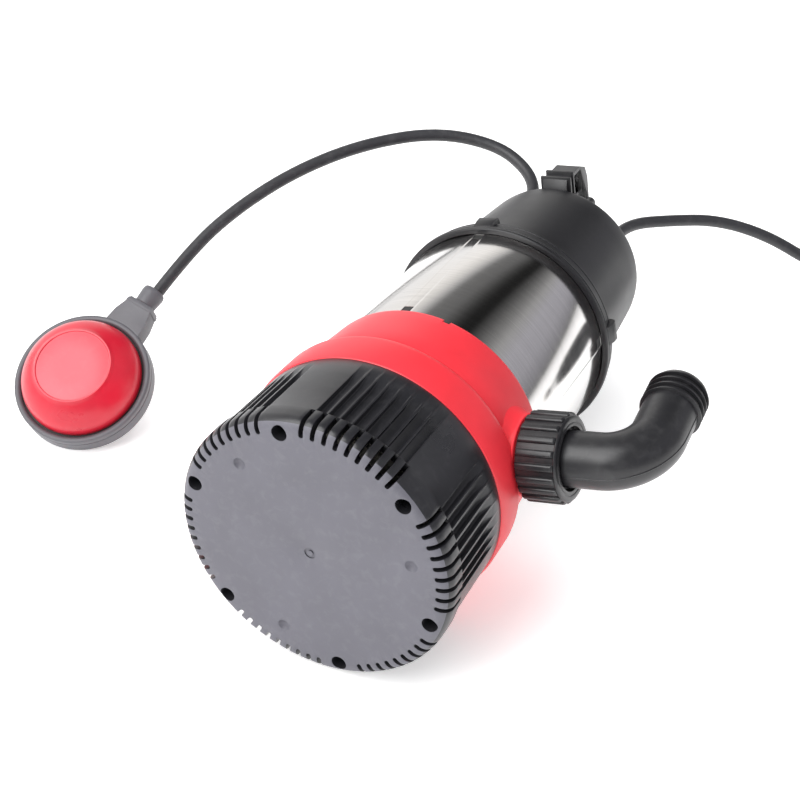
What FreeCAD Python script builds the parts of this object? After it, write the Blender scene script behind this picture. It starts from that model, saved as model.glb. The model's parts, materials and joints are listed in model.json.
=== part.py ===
import FreeCAD, Part
import math
import os
import re

import Sketcher
from FreeCAD import Placement, Rotation, Vector

# Submersible drainage pump with a float switch, lying on its side.  Row frame: the origin is the
# centre of the base's outer face, +Y runs along the pump's axis from base to cap, +Z is up and
# the hose outlet points towards +X.  Inside the pump group a second, turned frame is used: its
# z is the pump's axis and its x is the outlet's direction.

doc = FreeCAD.newDocument("submersible_pump")
sizes = doc.addObject("Spreadsheet::Sheet", "Sizes")

SIZES = {
    # strainer base
    "base_radius": 94.4,
    "base_edge": 7,
    "base_floor": 6,
    "strainer_height": 80.5,
    "strainer_top_radius": 91.5,
    "strainer_bore": 88,
    "step_height": 17,
    "step_depth": 1.6,
    "slot_inner_radius": 84.8,
    "slot_width": 2.8,
    "slot_angle": 5,
    "slots_per_gap": 9,
    "groove_width": 6.6,
    "groove_depth": 3,
    "groove_top": 70,
    "screw_circle": 85,
    "screw_count": 6,
    "screw_socket_radius": 5.2,
    "screw_socket_depth": 60,
    "screw_column_radius": 7.6,
    "screw_head_radius": 4.4,
    "screw_head_height": 4,
    "screw_radius": 2.4,
    "screw_clearance": 0.35,
    "screw_grip": 14,
    "dimple_circle": 70,
    "dimple_radius": 4.2,
    "dimple_depth": 2.4,
    "gate_radius": 3.6,
    # pump housing
    "housing_height": 162.5,
    "housing_bore": 70,
    "housing_skirt": 76,
    "band_radius": 93,
    "band_top": 112,
    "plate_seat": 146,
    "jacket_seat": 150,
    "outlet_height": 129.5,
    "outlet_reach": 92,
    "outlet_boss_radius": 26.5,
    "outlet_bore": 16,
    "spigot_radius": 24,
    "spigot_end": 112,
    # stages
    "plate_bottom": 24,
    "plate_thickness": 6,
    "suction_eye": 23,
    "stage_start": 34,
    "stage_pitch": 24,
    "stage_wall": 3,
    "stage_clearance": 0.3,
    "impeller_radius": 60,
    "impeller_hub": 12,
    "shroud_thickness": 2.2,
    "impeller_passage": 7,
    "blade_thickness": 2.4,
    "blade_count": 6,
    "port_count": 12,
    "running_clearance": 0.06,
    # shaft and bearings
    "shaft_radius": 8,
    "motor_shaft_radius": 11,
    "bearing_bore": 8.5,
    "bearing_radius": 20,
    "bearing_width": 12,
    "bearing_ring": 3.6,
    "ball_count": 9,
    "lower_bearing": 154,
    "upper_bearing": 276,
    # seal plate, motor and jacket
    "plate_step": 158,
    "plate_top": 166,
    "shell_outer": 66,
    "shell_wall": 2,
    "core_bottom": 195,
    "core_length": 60,
    "rotor_radius": 34,
    "air_gap": 0.4,
    "winding_outer": 60,
    "winding_inner": 38,
    "winding_length": 17,
    "bracket_bottom": 278,
    "bracket_top": 292,
    "jacket_radius": 82,
    "jacket_wall": 0.8,
    "collar_wall": 1.6,
    "collar_radius": "jacket_radius + collar_wall",
    "upper_band_wall": 5.4,
    "upper_band_radius": "jacket_radius + upper_band_wall",
    "plate_inset": 5.7,
    "plate_radius": "jacket_radius - plate_inset",
    "bracket_gap": 0.3,
    "bracket_radius": "jacket_radius - jacket_wall - bracket_gap",
    "jacket_top": 294,
    "window_size": 7,
    # flange ring and cap
    "flange_bottom": 288.8,
    "flange_top": 304.2,
    "flange_wall": 4.2,
    "flange_radius": "jacket_radius + flange_wall",
    "flange_upper_wall": 2.4,
    "flange_upper_radius": "jacket_radius + flange_upper_wall",
    "latch_step": 6.1,
    "latch_reach": "flange_upper_radius + latch_step",
    "latch_width": 12,
    "cap_inset": 6,
    "cap_foot_radius": "jacket_radius - cap_inset",
    "cap_ledge": 1,
    "cap_base_radius": "cap_foot_radius - cap_ledge",
    "cap_top_radius": 67.2,
    "cap_height": 411.5,
    "cap_edge": 5,
    "cap_wall": 4,
    "fit_clearance": 0.1,
    # handle
    "handle_turn": 4,
    "handle_span": 71,
    "handle_gap": 50,
    "handle_rise": 48.5,
    "handle_top": "cap_height + handle_rise",
    "handle_bar": 16,
    "handle_half_width": 10,
    "handle_rib": 2.6,
    "handle_corner": 14,
    "handle_screw_radius": 2,
    # union nut and elbow
    "nut_start": 93.4,
    "nut_end": 121.5,
    "nut_radius": 28.2,
    "nut_rib": 1.5,
    "nut_rib_width": 4,
    "nut_rib_count": 20,
    "nut_mouth": 21,
    "washer_thickness": 1.6,
    "elbow_collar": 23.4,
    "elbow_collar_length": 4,
    "elbow_radius": 18.4,
    "elbow_wall": 3.2,
    "elbow_leg": 140.5,
    "elbow_bend": 29.2,
    "elbow_tail": 46,
    "elbow_swivel": 8,
    "barb_radius": 20.6,
    "barb_pitch": 5.6,
    "barb_count": 4,
    # cords
    "cord_radius": 5,
    "gland_base": 10.5,
    "gland_neck": 8,
    "gland_rise": 20.5,
    "gland_top": "cap_height + gland_rise",
    "coil_outer": 107,
    "coil_inner": 64,
    "coil_height": 50.8,
    "coil_x": 300,
    "coil_y": 640,
    "plug_radius": 19,
    "plug_length": 38,
    "plug_x": 414,
    "plug_y": 566,
    "pin_radius": 2.4,
    "pin_length": 19,
    "pin_spacing": 19,
    # float switch
    "float_radius": 54,
    "float_x": -295.3,
    "float_y": 161.1,
    "float_lean": 34.4,
    "float_rim_height": 17,
    "float_rim_bore": 49,
    "float_foot": 32,
    "float_foot_radius": 30,
    "float_wall": 4,
    "cover_height": 24,
    "cover_top_radius": 30.5,
    "cover_gap": 0.6,
    "cover_wall": 2.6,
    "seal_height": 2.4,
    "neck_drop": 8.5,
    "neck_root": 16,
    "neck_tip": 10.5,
    "neck_depth": 15.6,
    "neck_end": 77,
    "collar_end": 92,
    "collar_size": 8.6,
    "ball_radius": 9,
    "ball_start": 17,
    "tube_half": 26,
    "tube_wall": 1.6,
    "tube_drop": 6,
    "switch_start": 27,
    "switch_length": 14,
}

for row, (alias, number) in enumerate(SIZES.items(), start=1):
    sizes.set(f"A{row}", alias)
    sizes.set(f"B{row}", f"={number}")
    sizes.setAlias(f"B{row}", alias)
doc.recompute()


def size(expression):
    """The value of a formula written in the sheet's names."""
    return float(sizes.evalExpression(str(expression)))


def bind(expression):
    """The same formula with each name pointing at the sheet."""
    return re.sub(r"\b(?!(?:cos|sin)\b)[a-z]\w*", lambda word: "Sizes." + word.group(), str(expression))


# the pump group's frame: z along the pump's axis, x along the outlet
OUTLET_ANGLE = 12.1
PUMP = Placement(Vector(), Rotation(Vector(0, 1, 0), -OUTLET_ANGLE) * Rotation(Vector(1, 0, 0), -90))
HANDLE = PUMP * Placement(Vector(), Rotation(Vector(0, 0, 1), size("handle_turn")))
NODES = {}


# ---------------------------------------------------------------- building blocks


def keep(node, label, place=PUMP):
    """Names a finished piece and puts it in its place in the row frame."""
    node.Label = label
    node.Placement = place
    NODES[label] = node
    return node


def new_body(label, place=PUMP):
    body = doc.addObject("PartDesign::Body", label)
    body.AllowCompound = True
    return keep(body, label, place)


def origin_feature(body, role):
    return next(item for item in body.Origin.OriginFeatures if item.Role == role)


def new_sketch(body, name, plane, height="0"):
    sketch = body.newObject("Sketcher::SketchObject", name)
    sketch.AttachmentSupport = (origin_feature(body, plane), [""])
    sketch.MapMode = "FlatFace"
    sketch.AttachmentOffset = Placement(Vector(0, 0, size(height)), Rotation())
    if height != "0":
        sketch.setExpression("AttachmentOffset.Base.z", bind(height))
    return sketch


def pin_point(sketch, geometry, position, across, up):
    """Ties one point of a sketch to two formulas measured from the sketch's origin."""
    for kind, axis, formula in (("DistanceX", -2, across), ("DistanceY", -1, up)):
        number = size(formula)
        if abs(number) < 1e-9:
            sketch.addConstraint(Sketcher.Constraint("PointOnObject", geometry, position, axis))
            continue
        index = sketch.addConstraint(Sketcher.Constraint(kind, -1, 1, geometry, position, number))
        sketch.setExpression(f"Constraints[{index}]", bind(formula))


def outline(sketch, points):
    """Closes a line of points, each a pair of formulas."""
    spots = [Vector(size(across), size(up), 0) for across, up in points]
    lines = [Part.LineSegment(spots[i], spots[(i + 1) % len(spots)]) for i in range(len(spots))]
    first = sketch.addGeometry(lines, False)[0]
    for i in range(len(spots)):
        following = first + (i + 1) % len(spots)
        sketch.addConstraint(Sketcher.Constraint("Coincident", first + i, 2, following, 1))
    for i, (across, up) in enumerate(points):
        pin_point(sketch, first + i, 1, across, up)
    return sketch


def disc(sketch, across, up, radius):
    """A circle given by three formulas."""
    centre = Vector(size(across), size(up), 0)
    index = sketch.addGeometry(Part.Circle(centre, Vector(0, 0, 1), size(radius)), False)
    pin_point(sketch, index, 3, across, up)
    bound = sketch.addConstraint(Sketcher.Constraint("Radius", index, size(radius)))
    sketch.setExpression(f"Constraints[{bound}]", bind(radius))
    return sketch


def turn(body, name, points, kind="Revolution"):
    """Turns an outline of (radius, height) pairs about the body's z axis."""
    sketch = outline(new_sketch(body, name + "_outline", "XZ_Plane"), points)
    feature = body.newObject("PartDesign::" + kind, name)
    feature.Profile = (sketch, [""])
    feature.ReferenceAxis = (sketch, ["V_Axis"])
    feature.Angle = 360
    body.Tip = feature
    return feature


def extrude(body, name, sketch, length, cut=False):
    """Pads or cuts a sketch along its own normal."""
    feature = body.newObject("PartDesign::Pocket" if cut else "PartDesign::Pad", name)
    feature.Profile = (sketch, [""])
    feature.Length = size(length)
    feature.setExpression("Length", bind(length))
    feature.Reversed = cut
    body.Tip = feature
    return feature


def polar(body, name, angle, count):
    pattern = body.newObject("PartDesign::PolarPattern", name)
    pattern.Axis = (origin_feature(body, "Z_Axis"), [""])
    pattern.Angle = size(angle)
    pattern.setExpression("Angle", bind(angle))
    pattern.Occurrences = int(size(count))
    pattern.setExpression("Occurrences", bind(count))
    return pattern


def ring_of(body, features, count, name="ring"):
    """Repeats features all round the body's axis."""
    pattern = polar(body, name, "360", count)
    pattern.Originals = features
    body.Tip = pattern
    return pattern


def gaps_of(body, feature, angle, count, name):
    """Repeats a feature through one gap between screws, and that group round the base."""
    both = body.newObject("PartDesign::MultiTransform", name)
    both.Originals = [feature]
    both.Transformations = [
        polar(body, name + "_gap", angle, count),
        polar(body, name + "_round", "360", "screw_count"),
    ]
    body.Tip = both
    return both


def turned(label, points, place=PUMP):
    body = new_body(label, place)
    turn(body, label + "_turn", points)
    return body


def tube(label, inner, outer, low, high, place=PUMP):
    return turned(label, [(inner, low), (outer, low), (outer, high), (inner, high)], place)


def primitive(kind, name, lengths, spot=("0", "0", "0"), rotation=Rotation()):
    """A Part primitive whose sizes and place are formulas."""
    shape = doc.addObject(kind, name)
    shape.Placement = Placement(Vector(*[size(value) for value in spot]), rotation)
    for axis, formula in zip("xyz", spot):
        if formula != "0":
            shape.setExpression("Placement.Base." + axis, bind(formula))
    for prop, formula in lengths.items():
        setattr(shape, prop, size(formula))
        shape.setExpression(prop, bind(formula))
    return shape


def cylinder(name, radius, height, spot=("0", "0", "0"), rotation=Rotation()):
    return primitive("Part::Cylinder", name, {"Radius": radius, "Height": height}, spot, rotation)


def block(name, length, width, height, spot=("0", "0", "0")):
    return primitive("Part::Box", name, {"Length": length, "Width": width, "Height": height}, spot)


def shifted(place, across=0, up=0, along=0):
    """A placement moved within its own frame."""
    return place * Placement(Vector(size(across), size(up), size(along)), Rotation())


def o_ring(label, ring, section, height):
    torus = primitive("Part::Torus", label, {"Radius1": ring, "Radius2": section})
    return keep(torus, label, shifted(PUMP, along=height))


def feature_of(label, shape, place=PUMP):
    node = doc.addObject("Part::Feature", label)
    node.Shape = shape
    return keep(node, label, place)


# ---------------------------------------------------------------- strainer base


def strainer_base():
    body = new_body("strainer_base")
    turn(body, "strainer_shell", [
        ("0", "0"),
        ("base_radius - base_edge", "0"),
        ("base_radius - 0.3 * base_edge", "0.3 * base_edge"),
        ("base_radius", "base_edge"),
        ("base_radius", "step_height"),
        ("base_radius - step_depth", "step_height + 0.5"),
        ("strainer_top_radius", "strainer_height"),
        ("strainer_bore", "strainer_height"),
        ("strainer_bore", "base_floor"),
        ("0", "base_floor"),
    ])
    column = disc(new_sketch(body, "column_outline", "XY_Plane", "base_floor"),
                  "screw_circle * cos(30)", "screw_circle * sin(30)", "screw_column_radius")
    columns = extrude(body, "column", column, "strainer_height - base_floor")
    ring_of(body, [columns], "screw_count", "columns")
    socket = disc(new_sketch(body, "socket_outline", "XY_Plane"),
                  "screw_circle * cos(30)", "screw_circle * sin(30)", "screw_socket_radius")
    sockets = extrude(body, "socket", socket, "screw_socket_depth", cut=True)
    ring_of(body, [sockets], "screw_count", "sockets")
    bore = disc(new_sketch(body, "bore_outline", "XY_Plane"), "screw_circle * cos(30)",
                "screw_circle * sin(30)", "screw_radius + screw_clearance")
    bores = extrude(body, "bore", bore, "strainer_height", cut=True)
    ring_of(body, [bores], "screw_count", "bores")
    dimple = disc(new_sketch(body, "dimple_outline", "XY_Plane"), "dimple_circle", "0", "dimple_radius")
    dimples = extrude(body, "dimple", dimple, "dimple_depth", cut=True)
    ring_of(body, [dimples], "3", "dimples")
    gate = disc(new_sketch(body, "gate_outline", "XY_Plane"), "0", "0", "gate_radius")
    disc(gate, "0", "0", "0.6 * gate_radius")
    extrude(body, "gate", gate, "0.8", cut=True)
    slot = radial_strip(body, "slot_outline", "0", "30 + 2 * slot_angle", "slot_inner_radius",
                        "base_radius + 1", "slot_width")
    slots = extrude(body, "slot", slot, "step_height - 0.4", cut=True)
    gaps_of(body, slots, "slot_angle * (slots_per_gap - 1)", "slots_per_gap", "slots")
    groove = radial_strip(body, "groove_outline", "step_height + 1.6", "30 + 2.5 * slot_angle",
                          "strainer_top_radius - groove_depth", "base_radius + 1", "groove_width")
    grooves = extrude(body, "groove", groove, "groove_top - step_height - 1.6", cut=True)
    gaps_of(body, grooves, "slot_angle * (slots_per_gap - 2)", "slots_per_gap - 1", "grooves")
    return body


def radial_strip(body, name, height, angle, inner, outer, width):
    """A rectangle lying along the radius at the given angle."""
    corners = ((inner, "-0.5"), (outer, "-0.5"), (outer, "0.5"), (inner, "0.5"))
    points = [
        (f"({reach}) * cos({angle}) - ({side}) * {width} * sin({angle})",
         f"({reach}) * sin({angle}) + ({side}) * {width} * cos({angle})")
        for reach, side in corners
    ]
    return outline(new_sketch(body, name, "XY_Plane", height), points)


def base_screws():
    body = new_body("base_screws")
    across = "screw_circle * cos(30)"
    up = "screw_circle * sin(30)"
    head_sketch = new_sketch(body, "head_outline", "XY_Plane", "screw_socket_depth - screw_head_height")
    disc(head_sketch, across, up, "screw_head_radius")
    head = extrude(body, "head", head_sketch, "screw_head_height")
    shank_sketch = new_sketch(body, "shank_outline", "XY_Plane", "screw_socket_depth")
    shank = extrude(body, "shank", disc(shank_sketch, across, up, "screw_radius"),
                    "strainer_height + screw_grip - 1 - screw_socket_depth")
    ring_of(body, [head, shank], "screw_count", "screws")
    return body


# ---------------------------------------------------------------- pump housing


def pump_housing():
    body = new_body("pump_housing")
    turn(body, "housing_shell", [
        ("housing_bore", "plate_bottom + plate_thickness"),
        ("housing_skirt", "plate_bottom + plate_thickness"),
        ("housing_skirt", "strainer_height"),
        ("strainer_top_radius", "strainer_height"),
        ("band_radius", "strainer_height + 4"),
        ("band_radius - 0.6", "band_top - 5"),
        ("band_radius - 3.4", "band_top"),
        ("upper_band_radius - 0.8", "band_top + 4"),
        ("upper_band_radius", "band_top + 6"),
        ("collar_radius + 0.8", "housing_height - 3"),
        ("collar_radius", "housing_height"),
        ("jacket_radius + fit_clearance", "housing_height"),
        ("jacket_radius + fit_clearance", "jacket_seat"),
        ("plate_radius + fit_clearance", "jacket_seat"),
        ("plate_radius + fit_clearance", "plate_seat"),
        ("housing_bore", "plate_seat"),
    ])
    boss = disc(new_sketch(body, "boss_outline", "YZ_Plane", "housing_bore + 3"),
                "0", "outlet_height", "outlet_boss_radius")
    extrude(body, "boss", boss, "outlet_reach - housing_bore - 3")
    spigot = disc(new_sketch(body, "spigot_outline", "YZ_Plane", "housing_bore + 3"),
                  "0", "outlet_height", "spigot_radius")
    extrude(body, "spigot", spigot, "spigot_end - housing_bore - 3")
    turn(body, "jacket_seat", [
        ("0.5 * housing_bore", "plate_seat"),
        ("plate_radius + fit_clearance", "plate_seat"),
        ("plate_radius + fit_clearance", "jacket_seat"),
        ("jacket_radius + fit_clearance", "jacket_seat"),
        ("jacket_radius + fit_clearance", "housing_height + 2"),
        ("0.5 * housing_bore", "housing_height + 2"),
    ], "Groove")
    port = disc(new_sketch(body, "port_outline", "YZ_Plane", "0.5 * housing_bore"),
                "0", "outlet_height", "outlet_bore")
    extrude(body, "port", port, "spigot_end", cut=True)
    pilot = disc(new_sketch(body, "pilot_outline", "XY_Plane", "strainer_height"),
                 "screw_circle * cos(30)", "screw_circle * sin(30)", "screw_radius")
    pilots = extrude(body, "pilot", pilot, "screw_grip", cut=True)
    ring_of(body, [pilots], "screw_count", "pilots")
    return body


def outlet_washer():
    x_axis = PUMP * Placement(Vector(0, 0, size("outlet_height")), Rotation(Vector(0, 1, 0), 90))
    return tube("outlet_washer", "outlet_bore + 0.5", "elbow_collar", "spigot_end",
                "spigot_end + washer_thickness", x_axis)


# ---------------------------------------------------------------- hydraulic stages


def suction_plate():
    lip = "plate_bottom + plate_thickness"
    return turned("suction_plate", [
        ("suction_eye", "plate_bottom"),
        ("housing_skirt", "plate_bottom"),
        ("housing_skirt", lip),
        ("housing_bore - fit_clearance", lip),
        ("housing_bore - fit_clearance", "stage_start"),
        ("housing_bore - stage_wall", "stage_start"),
        ("housing_bore - stage_wall", lip),
        ("suction_eye", lip),
    ])


def diffuser(number):
    low = f"stage_start + {number} * stage_pitch"
    body = new_body(f"diffuser_{number + 1}")
    outer = "housing_bore - stage_clearance"
    turn(body, "cup", [
        ("impeller_hub + 1", f"{low} + stage_pitch - 6"),
        ("housing_bore - stage_wall", f"{low} + stage_pitch - 6"),
        ("housing_bore - stage_wall", low),
        (outer, low),
        (outer, f"{low} + stage_pitch"),
        ("housing_bore - stage_wall", f"{low} + stage_pitch"),
        ("housing_bore - stage_wall", f"{low} + stage_pitch - 3.5"),
        ("impeller_hub + 1", f"{low} + stage_pitch - 3.5"),
    ])
    port = disc(new_sketch(body, "port_outline", "XY_Plane", f"{low} + stage_pitch - 6.5"),
                "0.5 * (impeller_radius + housing_bore - stage_wall)", "0", "2.6")
    ports = extrude(body, "port", port, "4", cut=True)
    ring_of(body, [ports], "port_count", "ports")
    vane = radial_strip(body, "vane_outline", f"{low} + stage_pitch - 3.5", "15", "2 * impeller_hub",
                        "impeller_radius - 2", "blade_thickness")
    vanes = extrude(body, "vane", vane, "3.4")
    ring_of(body, [vanes], "blade_count", "vanes")
    return body


def impeller(number):
    low = f"stage_start + {number} * stage_pitch + 3"
    back = f"{low} + shroud_thickness + impeller_passage"
    body = new_body(f"impeller_{number + 1}")
    turn(body, "back", [
        ("shaft_radius", low),
        ("impeller_hub", low),
        ("impeller_hub", back),
        ("impeller_radius", back),
        ("impeller_radius", f"{back} + shroud_thickness"),
        ("impeller_hub", f"{back} + shroud_thickness"),
        ("impeller_hub", f"{back} + shroud_thickness + 2"),
        ("shaft_radius", f"{back} + shroud_thickness + 2"),
    ])
    inner = "suction_eye + 1"
    blade = new_sketch(body, "blade_outline", "XY_Plane", f"{low} + shroud_thickness - 0.5")
    outline(blade, [
        (inner, "-4"),
        ("impeller_radius - 12", "-25"),
        ("impeller_radius - 12 + blade_thickness", "-23.5"),
        (inner, "-4 + 1.3 * blade_thickness"),
    ])
    blades = extrude(body, "blade", blade, "impeller_passage + 1")
    ring_of(body, [blades], "blade_count", "blades")
    turn(body, "front", [
        ("suction_eye - 1", low),
        ("impeller_radius", low),
        ("impeller_radius", f"{low} + shroud_thickness"),
        ("suction_eye - 1", f"{low} + shroud_thickness"),
    ])
    return body


def stage_sleeves():
    """The spacers that stand between one impeller's hub and the next."""
    body = new_body("stage_sleeves")
    top = "stage_start + 5 + 2 * shroud_thickness + impeller_passage"
    sketch = disc(new_sketch(body, "sleeve_outline", "XY_Plane", top), "0", "0", "impeller_hub - 0.5")
    sleeve = extrude(body, "sleeve", sketch, "stage_pitch - 2 - 2 * shroud_thickness - impeller_passage")
    step = body.newObject("PartDesign::LinearPattern", "sleeves")
    step.Originals = [sleeve]
    step.Direction = (origin_feature(body, "Z_Axis"), [""])
    step.Length = size("stage_pitch")
    step.setExpression("Length", bind("stage_pitch"))
    step.Occurrences = 2
    body.Tip = step
    bore = disc(new_sketch(body, "bore_outline", "XY_Plane", "stage_start"), "0", "0", "shaft_radius")
    extrude(body, "bore", bore, "3 * stage_pitch", cut=True)
    return body


def impeller_nut():
    low = "plate_bottom + 2"
    lengths = {"Circumradius": "impeller_hub", "Height": f"stage_start + 3 - ({low})"}
    nut = primitive("Part::Prism", "nut_blank", lengths, ("0", "0", low))
    nut.Polygon = 6
    bore = cylinder("nut_bore", "0.75 * shaft_radius", "2 * stage_start")
    return cut_from("impeller_nut", nut, bore)


def cut_from(label, base, tool, place=PUMP):
    result = doc.addObject("Part::Cut", label)
    result.Base = base
    result.Tool = tool
    return keep(result, label, place)


# ---------------------------------------------------------------- shaft, bearings and seal


def pump_shaft():
    thread = "0.75 * shaft_radius"
    return turned("pump_shaft", [
        ("0", "plate_bottom"),
        (thread, "plate_bottom"),
        (thread, "stage_start + 3"),
        ("shaft_radius", "stage_start + 3"),
        ("shaft_radius", "plate_seat + 6"),
        ("bearing_bore", "plate_seat + 6"),
        ("bearing_bore", "lower_bearing + bearing_width"),
        ("motor_shaft_radius", "lower_bearing + bearing_width"),
        ("motor_shaft_radius", "upper_bearing"),
        ("bearing_bore", "upper_bearing"),
        ("bearing_bore", "upper_bearing + bearing_width"),
        ("0", "upper_bearing + bearing_width"),
    ])


def bearing(name, low):
    """Rings and balls of one deep-groove bearing."""
    race = "0.5 * (bearing_bore + bearing_radius)"
    ball = "0.5 * (bearing_radius - bearing_bore) - bearing_ring"
    high = f"{low} + bearing_width"
    inner = turned(name + "_inner", [
        ("bearing_bore", low),
        ("bearing_bore + bearing_ring - running_clearance", low),
        ("bearing_bore + bearing_ring - running_clearance", high),
        ("bearing_bore", high),
    ])
    outer = turned(name + "_outer", [
        ("bearing_radius - bearing_ring", low),
        ("bearing_radius", low),
        ("bearing_radius", high),
        ("bearing_radius - bearing_ring", high),
    ])
    count = int(size("ball_count"))
    balls = [
        Part.makeSphere(size(ball), Vector(size(race), 0, size(f"{low} + 0.5 * bearing_width")))
        for _ in range(count)
    ]
    for place, shape in enumerate(balls):
        shape.rotate(Vector(), Vector(0, 0, 1), 360 * place / count)
    return inner, outer, feature_of(name + "_balls", Part.makeCompound(balls))


def shaft_seal():
    tube("seal_seat", "shaft_radius + 1", "15", "plate_seat - 4", "plate_seat + 2")
    tube("seal_ring", "shaft_radius", "13", "plate_seat - 9", "plate_seat - 4 - running_clearance")
    return seal_spring()


def seal_spring():
    """Three flat turns of wire stand for the seal's coil spring."""
    body = new_body("seal_spring")
    turn(body, "spring_turns", [
        ("shaft_radius", "plate_seat - 22"),
        ("13", "plate_seat - 22"),
        ("13", "plate_seat - 20"),
        ("10.5", "plate_seat - 20"),
        ("10.5", "plate_seat - 17"),
        ("12.5", "plate_seat - 17"),
        ("12.5", "plate_seat - 15"),
        ("10.5", "plate_seat - 15"),
        ("10.5", "plate_seat - 12"),
        ("12.5", "plate_seat - 12"),
        ("12.5", "plate_seat - 9"),
        ("shaft_radius", "plate_seat - 9"),
    ])
    return body


def seal_plate():
    return turned("seal_plate", [
        ("shaft_radius + 1", "plate_seat + 2"),
        ("15", "plate_seat + 2"),
        ("15", "plate_seat"),
        ("plate_radius", "plate_seat"),
        ("plate_radius", "plate_step"),
        ("bracket_radius", "plate_step"),
        ("bracket_radius", "plate_step + 16"),
        ("shell_outer + fit_clearance", "plate_step + 16"),
        ("shell_outer + fit_clearance", "plate_step"),
        ("shell_outer - shell_wall - fit_clearance", "plate_step"),
        ("shell_outer - shell_wall - fit_clearance", "plate_top"),
        ("bearing_radius", "plate_top"),
        ("bearing_radius", "lower_bearing"),
        ("shaft_radius + 1", "lower_bearing"),
    ])


# ---------------------------------------------------------------- motor and jacket


def motor():
    shell_bore = "shell_outer - shell_wall"
    core_top = "core_bottom + core_length"
    tube("motor_shell", shell_bore, "shell_outer", "plate_step", "bracket_bottom")
    tube("stator_core", "rotor_radius + air_gap", shell_bore, "core_bottom", core_top)
    tube("rotor_core", "motor_shaft_radius", "rotor_radius", "core_bottom", core_top)
    windings = new_body("stator_windings")
    turn(windings, "lower_winding", winding_outline("core_bottom - winding_length", "core_bottom"))
    turn(windings, "upper_winding", winding_outline(core_top, f"{core_top} + winding_length"))
    rings = new_body("rotor_end_rings")
    for name, low in (("lower", "core_bottom - 6"), ("upper", core_top)):
        turn(rings, name + "_end_ring", [
            ("motor_shaft_radius + 6", low),
            ("rotor_radius - 1", low),
            ("rotor_radius - 1", f"{low} + 6"),
            ("motor_shaft_radius + 6", f"{low} + 6"),
        ])


def winding_outline(low, high):
    return [
        ("winding_inner + 3", low),
        ("winding_outer - 3", low),
        ("winding_outer", f"{low} + 4"),
        ("winding_outer", high),
        ("winding_inner", high),
        ("winding_inner", f"{low} + 4"),
    ]


def upper_bracket():
    return turned("upper_bracket", [
        ("0", "upper_bearing + bearing_width + 0.4"),
        ("bearing_radius", "upper_bearing + bearing_width + 0.4"),
        ("bearing_radius", "upper_bearing"),
        ("bearing_radius + 6", "upper_bearing"),
        ("bearing_radius + 6", "bracket_bottom"),
        ("bracket_radius", "bracket_bottom"),
        ("bracket_radius", "bracket_top"),
        ("0", "bracket_top"),
    ])


def steel_jacket():
    body = tube("steel_jacket", "jacket_radius - jacket_wall", "jacket_radius", "jacket_seat + 0.2",
                "jacket_top")
    for name, height in (("lower", "housing_height + 2"), ("upper", "flange_bottom - 2 - window_size")):
        sketch = outline(new_sketch(body, name + "_window_outline", "YZ_Plane", "jacket_radius - 4"), [
            ("-0.5 * window_size", height),
            ("0.5 * window_size", height),
            ("0.5 * window_size", f"{height} + window_size"),
            ("-0.5 * window_size", f"{height} + window_size"),
        ])
        window = extrude(body, name + "_window", sketch, "6", cut=True)
        ring_of(body, [window], "4", name + "_windows")
    return body


def latch_tongues():
    """Plastic tongues that snap into the windows of the jacket, four at each end."""
    body = new_body("latch_tongues")
    for name, height in (("lower", "housing_height + 2"), ("upper", "flange_bottom - 2 - window_size")):
        sketch = outline(new_sketch(body, name + "_tongue_outline", "YZ_Plane", "bracket_radius"), [
            ("-0.5 * window_size + 0.3", f"{height} + 0.3"),
            ("0.5 * window_size - 0.3", f"{height} + 0.3"),
            ("0.5 * window_size - 0.3", f"{height} + window_size - 0.3"),
            ("-0.5 * window_size + 0.3", f"{height} + window_size - 0.3"),
        ])
        tongue = extrude(body, name + "_tongue", sketch, "jacket_radius - 0.3 - bracket_radius")
        ring_of(body, [tongue], "4", name + "_tongues")
    return body


def jacket_flange():
    body = turned("jacket_flange", [
        ("jacket_radius + fit_clearance", "flange_bottom"),
        ("flange_radius - 0.6", "flange_bottom"),
        ("flange_radius", "flange_bottom + 1.5"),
        ("flange_radius", "flange_bottom + 4.5"),
        ("flange_upper_radius", "flange_bottom + 6.5"),
        ("flange_upper_radius", "flange_top - 1.2"),
        ("flange_upper_radius - 1", "flange_top"),
        ("cap_foot_radius + fit_clearance", "flange_top"),
        ("cap_foot_radius + fit_clearance", "jacket_top + 0.2"),
        ("jacket_radius + fit_clearance", "jacket_top + 0.2"),
    ])
    sketch = outline(new_sketch(body, "latch_outline", "XZ_Plane", "-0.5 * latch_width"), [
        ("flange_upper_radius - 4", "flange_bottom + 7"),
        ("flange_upper_radius + 1", "flange_bottom + 7"),
        ("latch_reach", "flange_bottom + 13"),
        ("latch_reach", "flange_top + 3"),
        ("flange_upper_radius + 1", "flange_top + 7"),
        ("flange_upper_radius - 4", "flange_top + 7"),
    ])
    latch = extrude(body, "latch", sketch, "latch_width")
    ring_of(body, [latch], "4", "latches")
    return body


# ---------------------------------------------------------------- cap and handle


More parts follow.
